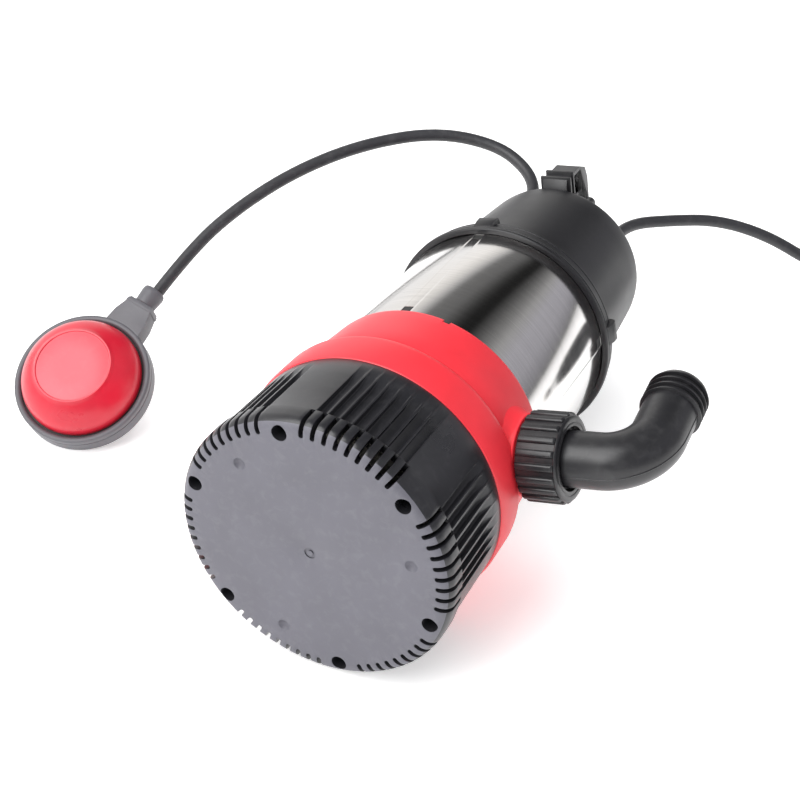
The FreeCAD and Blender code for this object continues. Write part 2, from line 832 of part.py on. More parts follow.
def pump_cap():
    body = turned("pump_cap", [
        ("cap_foot_radius - cap_wall", "bracket_top + 0.2"),
        ("cap_foot_radius", "bracket_top + 0.2"),
        ("cap_foot_radius", "flange_top - 4"),
        ("cap_base_radius", "flange_top - 3"),
        ("cap_top_radius + 0.8", "cap_height - 2 * cap_edge"),
        ("cap_top_radius - 0.3 * cap_edge", "cap_height - 0.35 * cap_edge"),
        ("cap_top_radius - cap_edge", "cap_height"),
        ("0", "cap_height"),
        ("0", "cap_height - cap_wall"),
        ("cap_top_radius - cap_edge - cap_wall", "cap_height - cap_wall"),
        ("cap_top_radius - cap_wall", "cap_height - 2 * cap_edge"),
        ("cap_base_radius - cap_wall", "flange_top - 3"),
    ])
    lug = disc(new_sketch(body, "lug_outline", "XY_Plane", "cap_height - 1"), "29", "-49", "4.5")
    extrude(body, "lug", lug, "13")
    for name, (across, up) in GLANDS.items():
        sketch = disc(new_sketch(body, name + "_hole_outline", "XY_Plane", "cap_height - 2 * cap_wall"),
                      across, up, "gland_neck + fit_clearance")
        extrude(body, name + "_hole", sketch, "2 * cap_wall + 2", cut=True)
    screw_hole = disc(new_sketch(body, "screw_outline", "XY_Plane", "cap_height - 2 * cap_wall"),
                      "(handle_gap + 4) * sin(handle_turn)", "-(handle_gap + 4) * cos(handle_turn)",
                      "handle_screw_radius + fit_clearance")
    hole = extrude(body, "screw_hole", screw_hole, "2 * cap_wall + 2", cut=True)
    ring_of(body, [hole], "2", "screw_holes")
    return body


GLANDS = {"float_gland": ("-26", "-44"), "mains_gland": ("25", "12")}


def gland(name):
    """A cord gland: neck through the cap, hexagon, clamping dome and a bore for the cord."""
    across, up = GLANDS[name]
    return turned(name, [
        ("0", "cap_height - cap_wall - 6"),
        ("gland_neck", "cap_height - cap_wall - 6"),
        ("gland_neck", "cap_height"),
        ("gland_base", "cap_height"),
        ("gland_base", "cap_height + 7"),
        ("gland_base - 1.5", "cap_height + 8"),
        ("gland_base - 1.5", "gland_top - 4"),
        ("gland_base - 3.5", "gland_top"),
        ("cord_radius + 0.05", "gland_top"),
        ("cord_radius + 0.05", "gland_top - 8"),
        ("0", "gland_top - 8"),
    ], shifted(PUMP, across, up))


def carry_handle():
    """An arch over the cap: a channel open on one side, stiffened by ribs, on two stepped feet."""
    body = new_body("carry_handle", HANDLE)
    foot = "cap_height"
    arch = new_sketch(body, "arch_outline", "YZ_Plane", "-handle_half_width")
    outline(arch, [
        ("-handle_span", f"{foot} + 6"),
        ("-handle_span", "handle_top - handle_corner"),
        ("-handle_span + 0.3 * handle_corner", "handle_top - 0.3 * handle_corner"),
        ("-handle_span + handle_corner", "handle_top"),
        ("handle_span - handle_corner", "handle_top"),
        ("handle_span - 0.3 * handle_corner", "handle_top - 0.3 * handle_corner"),
        ("handle_span", "handle_top - handle_corner"),
        ("handle_span", f"{foot} + 6"),
        ("handle_gap + 8", foot),
        ("handle_gap", foot),
        ("handle_gap", "handle_top - handle_bar - 6"),
        ("handle_gap - 6", "handle_top - handle_bar"),
        ("6 - handle_gap", "handle_top - handle_bar"),
        ("-handle_gap", "handle_top - handle_bar - 6"),
        ("-handle_gap", foot),
        ("-handle_gap - 8", foot),
    ])
    extrude(body, "arch", arch, "2 * handle_half_width")
    bays = int(size("2 * handle_gap / 20"))
    pitch = f"(2 * handle_gap - 12) / {bays}"
    pockets = new_sketch(body, "bay_outline", "YZ_Plane", "-handle_half_width + handle_rib")
    for bay in range(bays):
        left = f"6 - handle_gap + {bay} * {pitch} + 0.5 * handle_rib"
        right = f"6 - handle_gap + {bay + 1} * {pitch} - 0.5 * handle_rib"
        low = "handle_top - handle_bar + handle_rib"
        high = "handle_top - handle_rib"
        outline(pockets, [(left, low), (right, low), (right, high), (left, high)])
    for side in (-1, 1):
        near = f"{side} * (handle_gap + handle_rib)"
        far = f"{side} * (handle_span - handle_rib)"
        low = f"{foot} + 19"
        high = "handle_top - handle_corner"
        outline(pockets, [(near, low), (far, low), (far, high), (near, high)])
    extrude(body, "bays", pockets, "2 * handle_half_width", cut=True)
    for side, name in ((-1, "near"), (1, "far")):
        for step, (low, reach, half) in enumerate((("6.2", "1.5", "12.5"), ("15", "2.8", "11.5"))):
            edge = f"{side} * (handle_span + {reach})"
            root = f"{side} * (handle_gap + 2)"
            ledge_sketch = new_sketch(body, f"{name}_ledge_{step}_outline", "XY_Plane", f"{foot} + {low}")
            ledge = outline(ledge_sketch, [
                (f"-{half}", root),
                (half, root),
                (half, edge),
                (f"-{half}", edge),
            ])
            extrude(body, f"{name}_ledge_{step}", ledge, "2.4")
    screw_hole = disc(new_sketch(body, "screw_outline", "XY_Plane", "cap_height - 1"),
                      "0", "-handle_gap - 4", "handle_screw_radius")
    hole = extrude(body, "screw_hole", screw_hole, "14", cut=True)
    ring_of(body, [hole], "2", "screw_holes")
    return body


def handle_screws():
    """Screws that come up through the cap into the feet of the handle."""
    body = new_body("handle_screws", HANDLE)
    head_sketch = disc(new_sketch(body, "head_outline", "XY_Plane", "cap_height - cap_wall - 3"),
                       "0", "-handle_gap - 4", "3.6")
    head = extrude(body, "head", head_sketch, "3")
    shank_sketch = disc(new_sketch(body, "shank_outline", "XY_Plane", "cap_height - cap_wall"),
                        "0", "-handle_gap - 4", "handle_screw_radius")
    shank = extrude(body, "shank", shank_sketch, "cap_wall + 12")
    ring_of(body, [head, shank], "2", "pair")
    return body


def cap_contents():
    turned("capacitor", [
        ("0", "bracket_top + 1"),
        ("18", "bracket_top + 1"),
        ("18", "cap_height - 40"),
        ("16", "cap_height - 38"),
        ("0", "cap_height - 38"),
    ], shifted(PUMP, -26, 22))
    terminals = block("terminal_block", "34", "18", "22")
    keep(terminals, "terminal_block", shifted(PUMP, 6, -34, "bracket_top + 1"))


# ---------------------------------------------------------------- union nut and elbow


def union_nut():
    x_axis = PUMP * Placement(Vector(0, 0, size("outlet_height")), Rotation(Vector(0, 1, 0), 90))
    body = new_body("union_nut", x_axis)
    shoulder = "spigot_end + washer_thickness + elbow_collar_length + 2 * running_clearance"
    turn(body, "nut_shell", [
        ("spigot_radius + running_clearance", "nut_start"),
        ("nut_radius - 1", "nut_start"),
        ("nut_radius", "nut_start + 1"),
        ("nut_radius", "nut_end - 1.5"),
        ("nut_radius - 1.5", "nut_end"),
        ("nut_mouth", "nut_end"),
        ("nut_mouth", shoulder),
        ("spigot_radius + running_clearance", shoulder),
    ])
    rib = radial_strip(body, "rib_outline", "nut_start + 0.8", "0", "nut_radius - 2",
                       "nut_radius + nut_rib", "nut_rib_width")
    ribs = extrude(body, "rib", rib, "nut_end - nut_start - 2.6")
    ring_of(body, [ribs], "nut_rib_count", "ribs")
    return body


def pipe(radius, leg, bend, tail, start):
    """A round bar along x from start, through a quarter bend, then along z."""
    corner = Vector(leg, 0, 0)
    centre = corner + Vector(0, 0, bend)
    rise = Vector(leg + bend, 0, bend)
    middle = centre + Vector(bend * math.sin(math.pi / 4), 0, -bend * math.cos(math.pi / 4))
    path = Part.Wire([
        Part.LineSegment(Vector(start, 0, 0), corner).toShape(),
        Part.Arc(corner, middle, rise).toShape(),
        Part.LineSegment(rise, rise + Vector(0, 0, tail)).toShape(),
    ])
    profile = Part.Wire(Part.Circle(Vector(start, 0, 0), Vector(1, 0, 0), radius).toShape())
    return path.makePipeShell([profile], True, True)


def hose_elbow():
    """Elbow with a clamping collar at one end and hose barbs at the other."""
    leg = size("elbow_leg")
    bend = size("elbow_bend")
    tail = size("elbow_tail")
    start = size("spigot_end + washer_thickness + running_clearance")
    body = pipe(size("elbow_radius"), leg, bend, tail, start)
    collar = Part.makeCylinder(size("elbow_collar"), size("elbow_collar_length"),
                               Vector(start, 0, 0), Vector(1, 0, 0))
    pieces = [collar]
    pitch = size("barb_pitch")
    top = bend + tail
    for barb in range(int(size("barb_count"))):
        low = Vector(leg + bend, 0, top - (barb + 1) * pitch)
        pieces.append(Part.makeCone(size("barb_radius"), size("elbow_radius") - 0.2, pitch, low,
                                    Vector(0, 0, 1)))
    body = body.fuse(pieces)
    bore = pipe(size("elbow_radius - elbow_wall"), leg, bend, tail + 1, start - 1)
    turned_by = Rotation(Vector(1, 0, 0), size("elbow_swivel"))
    swivel = Placement(Vector(0, 0, size("outlet_height")), turned_by)
    return feature_of("hose_elbow", body.cut(bore).removeSplitter(), PUMP * swivel)


# ---------------------------------------------------------------- float switch

FLOAT_NORMAL = Vector(0.148, -0.545, 0.825).normalize()
FLOAT_REACH = Vector(0.21, 0.833, 0.512)
FLOAT_SIDE = FLOAT_NORMAL.cross(FLOAT_REACH).normalize()
FLOAT_AHEAD = FLOAT_SIDE.cross(FLOAT_NORMAL)
LEAN = math.radians(size("float_lean"))
FLOAT_DROP = size("float_rim_height") * FLOAT_NORMAL.z + size("float_radius") * math.hypot(
    FLOAT_NORMAL.x, FLOAT_NORMAL.y)
FLOAT_CENTRE = Vector(size("float_x"), size("float_y"), FLOAT_DROP - size("base_radius"))
# z is the float's own axis and x points out through its neck
FLOAT = Placement(FLOAT_CENTRE, Rotation(FLOAT_AHEAD, FLOAT_SIDE, FLOAT_NORMAL, "ZXY"))
NECK = FLOAT * Placement(Vector(0, 0, -size("neck_drop")), Rotation(Vector(0, 1, 0), 90))
TRACK = FLOAT * Placement(Vector(0, 0, -size("tube_drop")), Rotation(Vector(0, 1, 0), 90))


def float_body():
    return turned("float_body", [
        ("0", "-float_foot"),
        ("float_foot_radius", "-float_foot"),
        ("float_radius - 3", "-float_rim_height - 2"),
        ("float_radius", "-float_rim_height"),
        ("float_radius", "-1"),
        ("float_radius - 1", "0"),
        ("float_rim_bore", "0"),
        ("float_rim_bore", "-3 - seal_height"),
        ("float_rim_bore - 5", "-3 - seal_height"),
        ("float_rim_bore - 5", "-float_rim_height + 2"),
        ("float_foot_radius - 2", "float_wall - float_foot"),
        ("0", "float_wall - float_foot"),
    ], FLOAT)


def float_cover():
    edge = "float_rim_bore - cover_gap"
    return turned("float_cover", [
        (f"{edge} - cover_wall", "-3"),
        (edge, "-3"),
        (edge, "0.5"),
        ("0.45 * (float_rim_bore - cover_gap) + 0.55 * cover_top_radius + 7.6", "0.36 * cover_height"),
        ("0.45 * (float_rim_bore - cover_gap) + 0.55 * cover_top_radius + 2.6", "0.66 * cover_height"),
        ("cover_top_radius + 2", "0.93 * cover_height"),
        ("cover_top_radius", "cover_height"),
        ("0", "cover_height"),
        ("0", "cover_height - cover_wall"),
        ("cover_top_radius - 1", "cover_height - cover_wall"),
        ("0.45 * (float_rim_bore - cover_gap) + 0.55 * cover_top_radius",
         "0.62 * cover_height - cover_wall"),
        (f"{edge} - cover_wall - 1", "1"),
    ], FLOAT)


def float_seal():
    return tube("float_seal", "float_rim_bore - 4.6", "float_rim_bore - 0.2", "-3 - seal_height", "-3",
                FLOAT)


def float_neck():
    """A flat tapering shank, as thick as the rim, with a raised band near its tip."""
    body = new_body("float_neck", FLOAT)
    for name, low, points in (
        ("shank", "-neck_drop - 0.5 * neck_depth", (
            ("float_radius - 3.4", "neck_root"),
            ("float_radius + 8", "neck_root - 1"),
            ("neck_end", "neck_tip"),
        )),
        ("band", "-neck_drop - 0.5 * neck_depth - 0.6", (
            ("neck_end - 5.5", "neck_tip + 2.6"),
            ("neck_end - 1", "neck_tip + 1.4"),
        )),
    ):
        sketch = new_sketch(body, name + "_outline", "XY_Plane", low)
        far_side = [(along, f"-({across})") for along, across in reversed(points)]
        outline(sketch, list(points) + far_side)
        extrude(body, name, sketch, f"2 * (-neck_drop - ({low}))")
    return body


def float_collar():
    return turned("float_collar", [
        ("0", "neck_end"),
        ("collar_size", "neck_end"),
        ("collar_size + 0.8", "collar_end - 3"),
        ("collar_size", "collar_end"),
        ("cord_radius + 0.05", "collar_end"),
        ("cord_radius + 0.05", "collar_end - 6"),
        ("0", "collar_end - 6"),
    ], NECK)


def float_contents():
    tube("ball_tube", "ball_radius + 0.4", "ball_radius + 0.4 + tube_wall", "-tube_half", "switch_start - 5",
         TRACK)
    ball = Part.makeSphere(size("ball_radius"), Vector(0, 0, -size("ball_start")))
    feature_of("float_ball", ball, TRACK)
    case = block("switch_case", "14", "12", "switch_length", ("-7", "-6", "switch_start"))
    hole = cylinder("switch_hole", "2 + running_clearance", "4", ("0", "0", "switch_start"))
    cut_from("micro_switch", case, hole, TRACK)
    plunger = cylinder("switch_plunger", "2", "6.5")
    keep(plunger, "switch_plunger", shifted(TRACK, along="switch_start - 5"))


# ---------------------------------------------------------------- cords, coil and plug

FLOOR = -size("base_radius")
CORD_REST = FLOOR + size("cord_radius")

# from the gland on the cap, over in a free loop, to the collar of the float switch
FLOAT_ROUTE = [
    Vector(-34.6, 424, 37.6),
    Vector(-36, 444, 40),
    Vector(-51, 463, 51),
    Vector(-84, 473, 63),
    Vector(-133, 457, 71),
    Vector(-180, 416, 67),
    Vector(-217, 371, 55),
    Vector(-246, 327, 36),
    Vector(-266.6, 284.2, 13.4),
    Vector(-277, 241.2, -12.9),
]

# from the gland on the cap, round towards the outlet's side and down to the coil
MAINS_ROUTE = [
    Vector(27, 426, -6.5),
    Vector(21, 476, -4),
    Vector(24, 516, -6),
    Vector(48, 548, -12),
    Vector(80, 590, -23),
    Vector(120, 618, -42),
    Vector(158, 636, -68),
    Vector(190, 662, CORD_REST),
    Vector(223, 702, CORD_REST),
]

# from the top of the coil, over its edge and down to the plug on the floor
PLUG_ROUTE = [
    Vector(391, 664, -50),
    Vector(403, 640, -55),
    Vector(411, 614, -67),
    Vector(414, 589, FLOOR + 19),
    Vector(414, 566, FLOOR + 19),
]


def rounded_path(points):
    """Straight runs joined by tangent arcs, each as large as its two runs allow."""
    edges = []
    last = points[0]
    radii = []
    for before, corner, after in zip(points, points[1:], points[2:]):
        into = corner - before
        out = after - corner
        half_turn = into.getAngle(out) / 2
        trim = 0.45 * min(into.Length, out.Length)
        radii.append(trim / math.tan(half_turn))
        into.normalize()
        out.normalize()
        start = corner - into * trim
        end = corner + out * trim
        inward = (out - into).normalize()
        middle = corner + inward * radii[-1] * (1 / math.cos(half_turn) - 1)
        edges.append(Part.LineSegment(last, start).toShape())
        edges.append(Part.Arc(start, middle, end).toShape())
        last = end
    edges.append(Part.LineSegment(last, points[-1]).toShape())
    return Part.Wire(edges), radii


def cord(label, points):
    path, radii = rounded_path(points)
    radius = size("cord_radius")
    heading = points[1] - points[0]
    profile = Part.Wire(Part.Circle(points[0], heading, radius).toShape())
    solid = path.makePipeShell([profile], True, False)
    expected = math.pi * radius ** 2 * path.Length
    print(label, "length", round(path.Length, 1), "radii", [round(value) for value in radii],
          "volume ratio", round(solid.Volume / expected, 4))
    return feature_of(label, solid, Placement())


def mains_coil():
    place = Placement(Vector(size("coil_x"), size("coil_y"), FLOOR), Rotation())
    return turned("mains_coil", [
        ("coil_inner + 10", "0"),
        ("coil_outer - 10", "0"),
        ("coil_outer", "10"),
        ("coil_outer", "coil_height - 10"),
        ("coil_outer - 10", "coil_height"),
        ("coil_inner + 10", "coil_height"),
        ("coil_inner", "coil_height - 10"),
        ("coil_inner", "10"),
    ], place)


def plug():
    height = FLOOR + size("plug_radius")
    place = Placement(Vector(size("plug_x"), size("plug_y"), height), Rotation(Vector(1, 0, 0), 90))
    turned("plug_body", [
        ("0", "0"),
        ("7", "0"),
        ("8", "12"),
        ("plug_radius - 4", "18"),
        ("plug_radius", "24"),
        ("plug_radius", "plug_length"),
        ("plug_radius - 1.5", "plug_length + 1.5"),
        ("0", "plug_length + 1.5"),
    ], place)
    pins = new_body("plug_pins", place)
    for side in (-1, 1):
        sketch = disc(new_sketch(pins, f"pin_outline_{side + 1}", "XY_Plane", "plug_length + 1.5"),
                      f"{side} * 0.5 * pin_spacing", "0", "pin_radius")
        extrude(pins, f"pin_{side + 1}", sketch, "pin_length")
    cord("plug_cord", PLUG_ROUTE)


# ---------------------------------------------------------------- the whole part


def build():
    strainer_base()
    base_screws()
    pump_housing()
    outlet_washer()
    suction_plate()
    for number in range(3):
        diffuser(number)
        impeller(number)
    stage_sleeves()
    impeller_nut()
    pump_shaft()
    bearing("lower_bearing", "lower_bearing")
    bearing("upper_bearing", "upper_bearing")
    shaft_seal()
    seal_plate()
    motor()
    upper_bracket()
    steel_jacket()
    latch_tongues()
    jacket_flange()
    o_ring("lower_jacket_seal", "0.5 * (plate_radius + jacket_radius - jacket_wall)", "2.3",
           "plate_seat + 9")
    o_ring("upper_jacket_seal", "cap_foot_radius + 3.2", "1.05",
           "0.5 * (bracket_top + jacket_top + 0.2)")
    pump_cap()
    for name in GLANDS:
        gland(name)
    carry_handle()
    handle_screws()
    cap_contents()
    union_nut()
    hose_elbow()
    float_body()
    float_cover()
    float_seal()
    float_neck()
    float_collar()
    float_contents()
    cord("float_cord", FLOAT_ROUTE)
    cord("mains_cord", MAINS_ROUTE)
    mains_coil()
    plug()


def check_and_write():
    """Recomputes, refuses a failed object or an empty shape, and writes one file per node."""
    doc.recompute()
    failed = [item.Name for item in doc.Objects if {"Invalid", "Error"} & set(item.State)]
    for label, node in NODES.items():
        shape = node.Shape
        if shape.isNull() or not shape.isValid() or shape.Volume <= 0:
            failed.append(label)
    if failed:
        raise RuntimeError("not built: " + ", ".join(failed))
    os.makedirs("parts", exist_ok=True)
    for label, node in NODES.items():
        node.Shape.exportStep(f"parts/{label}.step")
    print(len(NODES), "nodes written")


build()
check_and_write()
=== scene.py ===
"""Submersible pump with a hose elbow, a handle, a float switch and a coiled mains lead, lying on its side."""

import json
import math

import bpy
from mathutils import Matrix, Vector


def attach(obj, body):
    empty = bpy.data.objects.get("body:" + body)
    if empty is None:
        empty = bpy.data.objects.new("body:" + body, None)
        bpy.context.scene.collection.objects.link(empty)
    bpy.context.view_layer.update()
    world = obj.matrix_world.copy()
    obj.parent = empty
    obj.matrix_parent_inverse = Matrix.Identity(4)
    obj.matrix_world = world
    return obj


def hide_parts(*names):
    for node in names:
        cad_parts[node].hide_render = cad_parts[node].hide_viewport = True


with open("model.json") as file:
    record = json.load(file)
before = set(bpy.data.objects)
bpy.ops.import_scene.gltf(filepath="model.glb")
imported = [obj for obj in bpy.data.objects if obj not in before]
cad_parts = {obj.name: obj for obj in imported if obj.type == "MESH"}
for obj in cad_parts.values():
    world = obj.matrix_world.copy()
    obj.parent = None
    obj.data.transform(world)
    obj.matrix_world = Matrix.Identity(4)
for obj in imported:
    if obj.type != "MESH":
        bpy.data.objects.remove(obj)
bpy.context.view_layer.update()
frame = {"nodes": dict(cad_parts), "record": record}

MM = 0.001
MERGE_WITHIN = 0.002
PIPE_MERGE_WITHIN = 0.001
QUARTERS = (0, 90, 180, 270)
SHARP_ANGLE = 30
FLOOR = -94.4
OUTLET_ANGLE = math.radians(12.1)
OUTLET_HEIGHT = 129.5
ELBOW_TURN = math.radians(8)
NECK_DROP = 8.5
COS, SIN = math.cos(OUTLET_ANGLE), math.sin(OUTLET_ANGLE)

# the pump's own frame: x towards the outlet, z from the base to the handle
PUMP = Matrix(((COS, SIN, 0, 0), (0, 0, 1, 0), (SIN, -COS, 0, 0), (0, 0, 0, 1)))
OUTLET = PUMP @ Matrix.Translation((0, 0, OUTLET_HEIGHT * MM)) @ Matrix.Rotation(math.pi / 2, 4, "Y")
ELBOW = PUMP @ Matrix.Translation((0, 0, OUTLET_HEIGHT * MM)) @ Matrix.Rotation(ELBOW_TURN, 4, "X")

FLOAT_NORMAL = Vector((0.148, -0.545, 0.825)).normalized()
FLOAT_SIDE = FLOAT_NORMAL.cross(Vector((0.21, 0.833, 0.512))).normalized()
FLOAT_AHEAD = FLOAT_SIDE.cross(FLOAT_NORMAL)
FLOAT_CENTRE = Vector((-295.3, 161.1, -49.9)) * MM
FLOAT_AXES = Matrix((FLOAT_AHEAD, FLOAT_SIDE, FLOAT_NORMAL)).transposed()
FLOAT = Matrix.Translation(FLOAT_CENTRE) @ FLOAT_AXES.to_4x4()
NECK = FLOAT @ Matrix.Translation((0, 0, -NECK_DROP * MM)) @ Matrix.Rotation(math.pi / 2, 4, "Y")


# ---------------------------------------------------------------- camera

CAMERA_PLACE = Vector((374.7, -629.4, 595.3)) * MM
CAMERA_AIM = Vector((-0.3718, 0.7464, -0.5519))
LENS = 69.28
SENSOR_WIDTH = 36


def set_camera():
    data = bpy.data.cameras.new("view")
    data.lens = LENS
    data.sensor_width = SENSOR_WIDTH
    data.clip_start, data.clip_end = 0.05, 60
    camera = bpy.data.objects.new("view", data)
    bpy.context.scene.collection.objects.link(camera)
    camera.location = CAMERA_PLACE
    camera.rotation_euler = CAMERA_AIM.to_track_quat("-Z", "Y").to_euler()
    bpy.context.scene.camera = camera


set_camera()

# ---------------------------------------------------------------- cords

FLOAT_ROUTE = (
    (-34.6, 424, 37.6), (-36, 444, 40), (-51, 463, 51), (-84, 473, 63), (-133, 457, 71),
    (-180, 416, 67), (-217, 371, 55), (-246, 327, 36), (-266.6, 284.2, 13.4), (-277, 241.2, -12.9),
)
MAINS_ROUTE = (
    (27, 426, -6.5), (21, 476, -4), (24, 516, -6), (48, 548, -12), (80, 590, -23),
    (120, 618, -42), (158, 636, -68), (190, 662, -89.4),
)
PLUG_ROUTE = ((403, 640, -55), (411, 614, -67), (414, 589, -75.4), (414, 566, -75.4))
CORD_DIAMETER = 10
COIL_CENTRE = (300, 640)
TURN_RADII = (101, 90.6, 80.2, 69.8)
ROW_RISE = 10.1
COIL_CLEARANCE = 0.2
COIL_WANDER = 0.25
COIL_START, COIL_END = 141, 25
POINTS_PER_TURN = 16
CORD_STEPS = 6


def coil_points(start_angle, last_angle):
    """Rows of turns, wound clockwise: inwards, up, outwards and so on, with part of a turn left on top."""
    step = 360 / POINTS_PER_TURN
    rows = (TURN_RADII, TURN_RADII[::-1], TURN_RADII, TURN_RADII[::-1])
    turns = [(radius, row) for row, radii in enumerate(rows) for radius in radii]
    turns.append((TURN_RADII[0], len(rows)))
    spread = 1 / math.cos(math.pi / POINTS_PER_TURN)
    points = []
    for turn, (radius, row) in enumerate(turns):
        height = FLOOR + 0.5 * CORD_DIAMETER + COIL_CLEARANCE + row * ROW_RISE
        whole = turn < len(turns) - 1
        stops = POINTS_PER_TURN if whole else int((start_angle - last_angle) / step) + 1
        for stop in range(1, stops):
            angle = math.radians(start_angle - stop * step)
            wander = COIL_WANDER * math.sin(2 * angle + turn)
            points.append((COIL_CENTRE[0] + (radius * spread + wander) * math.cos(angle),
                           COIL_CENTRE[1] + (radius * spread + wander) * math.sin(angle), height))
    return points


def lay_cord(name, route, replaced, **facts):
    curve = bpy.data.curves.new(name, "CURVE")
    curve.dimensions = "3D"
    spline = curve.splines.new("NURBS")
    spline.points.add(len(route) - 1)
    for point, spot in zip(spline.points, route):
        point.co = (*(Vector(spot) * MM), 1)
    spline.order_u = 3
    spline.use_endpoint_u = True
    spline.resolution_u = CORD_STEPS
    curve.bevel_depth = 0.5 * CORD_DIAMETER * MM
    curve.bevel_resolution = CORD_STEPS
    curve.use_fill_caps = True
    cord = bpy.data.objects.new(name, curve)
    bpy.context.scene.collection.objects.link(cord)
    shown(cord, cord_rubber, "root", "cord_rubber", *replaced)


# ---------------------------------------------------------------- modelling steps


def only(piece):
    bpy.ops.object.select_all(action="DESELECT")
    piece.select_set(True)
    bpy.context.view_layer.objects.active = piece


def edit(piece, select="DESELECT"):
    only(piece)
    bpy.ops.object.mode_set(mode="EDIT")
    bpy.ops.mesh.select_mode(type="VERT")
    bpy.ops.mesh.select_all(action=select)


def done():
    bpy.ops.object.mode_set(mode="OBJECT")


def pick(piece, mode, test):
    """Selects edges by a test on their two ends, or faces by a test on their middle and normal."""
    bpy.ops.object.mode_set(mode="OBJECT")
    mesh = piece.data
    for element in (*mesh.vertices, *mesh.edges, *mesh.polygons):
        element.select = False
    if mode == "EDGE":
        for edge in mesh.edges:
            edge.select = test(*(mesh.vertices[i].co for i in edge.vertices))
    else:
        for face in mesh.polygons:
            face.select = test(face.center, face.normal)
    bpy.ops.object.mode_set(mode="EDIT")
    bpy.ops.mesh.select_mode(type=mode)


def settle(piece, place):
    """Puts a piece, modelled about its own axis, in its place in the whole, with its object at the origin."""
    only(piece)
    piece.matrix_world = place
    bpy.ops.object.transform_apply(location=True, rotation=True, scale=True)
    return piece


def arc(across, up, radius, start, end, steps=5):
    """Points of an arc for an outline, by angle in degrees from the outward direction."""
    angles = [math.radians(start + (end - start) * i / steps) for i in range(steps + 1)]
    return [(across + radius * math.cos(a), up + radius * math.sin(a)) for a in angles]


def spun(name, outline, steps=144):
    """A turned shape: an outline of radius and height, drawn point by point and spun about the axis."""
    bpy.ops.object.select_all(action="DESELECT")
    bpy.ops.mesh.primitive_plane_add(size=MM)
    piece = bpy.context.object
    piece.name = piece.data.name = name
    edit(piece, "SELECT")
    bpy.ops.mesh.merge(type="CENTER")
    points = [Vector((radius * MM, 0, height * MM)) for radius, height in outline]
    bpy.ops.transform.translate(value=points[0])
    for here, there in zip(points, points[1:]):
        bpy.ops.mesh.extrude_region_move(TRANSFORM_OT_translate={"value": there - here})
    bpy.ops.mesh.select_all(action="SELECT")
    bpy.ops.mesh.spin(steps=steps, angle=math.tau, center=(0, 0, 0), axis=(0, 0, 1))
    bpy.ops.mesh.select_all(action="SELECT")
    bpy.ops.mesh.remove_doubles(threshold=MERGE_WITHIN * MM)
    bpy.ops.mesh.normals_make_consistent(inside=False)
    done()
    return piece


def ringed(outline):
    """An outline closed on itself, for a ring or a tube."""
    return [*outline, outline[0]]


def slab(name, low, high):
    """A block between two corners, in millimetres."""
    bpy.ops.object.select_all(action="DESELECT")
    low, high = Vector(low) * MM, Vector(high) * MM
    bpy.ops.mesh.primitive_cube_add(size=1, location=(low + high) / 2, scale=high - low)
    piece = bpy.context.object
    piece.name = piece.data.name = name
    bpy.ops.object.transform_apply(location=True, rotation=True, scale=True)
    return piece


def rod(name, radius, low, high, across=0, up=0, sides=40):
    """A round bar along the axis, in millimetres."""
    bpy.ops.object.select_all(action="DESELECT")
    spot = Vector((across, up, 0.5 * (low + high))) * MM
    depth = (high - low) * MM
    bpy.ops.mesh.primitive_cylinder_add(vertices=sides, radius=radius * MM, depth=depth, location=spot)
    piece = bpy.context.object
    piece.name = piece.data.name = name
    bpy.ops.object.transform_apply(location=True, rotation=True, scale=True)
    return piece


def joined(name, pieces):
    bpy.ops.object.select_all(action="DESELECT")
    for piece in pieces:
        piece.select_set(True)
    bpy.context.view_layer.objects.active = pieces[0]
    if len(pieces) > 1:
        bpy.ops.object.join()
    pieces[0].name = pieces[0].data.name = name
    return pieces[0]


def round_the_axis(piece, angles):
    """Copies of a piece, each with its own mesh, turned about the axis and joined."""
    copies = []
    for angle in angles:
        copy = piece.copy()
        copy.data = piece.data.copy()
        copy.data.transform(Matrix.Rotation(math.radians(angle), 4, "Z"))
        bpy.context.scene.collection.objects.link(copy)
        copies.append(copy)
    name = piece.name
    bpy.data.objects.remove(piece, do_unlink=True)
    return joined(name, copies)


def finished_with(piece, kind, **settings):
    """Adds a modifier and applies it."""
    only(piece)
    modifier = piece.modifiers.new(kind.lower(), kind)
    for setting, value in settings.items():
        setattr(modifier, setting, value)
    bpy.ops.object.modifier_apply(modifier=modifier.name)
    return piece


def combined(piece, other, operation="DIFFERENCE"):
    finished_with(piece, "BOOLEAN", object=other, operation=operation, solver="EXACT")
    bpy.data.objects.remove(other, do_unlink=True)
    return piece


def eased(piece, width, segments=2):
    """Rounds the sharp edges and smooths the rest."""
    finished_with(piece, "BEVEL", width=width * MM, segments=segments, limit_method="ANGLE",
                  angle_limit=math.radians(SHARP_ANGLE), use_clamp_overlap=True, miter_outer="MITER_ARC")
    return smoothed(piece)


def smoothed(piece, angle=32):
    only(piece)
    bpy.ops.object.shade_smooth_by_angle(angle=math.radians(angle))
    return piece


def shown(piece, material, body, slot, *replaced):
    """Gives a finished piece its material and its body, and hides the CAD nodes it stands for."""
    piece.data.materials.clear()
    piece.data.materials.append(material)
    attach(piece, body)
    if replaced:
        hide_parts(*replaced)
    return piece


def faced(piece, material, place, test):
    """Gives the faces that pass a test, in the piece's own frame, a second material."""
    piece.data.materials.append(material)
    back = place.inverted()
    turn = back.to_3x3()
    for face in piece.data.polygons:
        if test(back @ face.center, turn @ face.normal):
            face.material_index = 1


# ---------------------------------------------------------------- materials


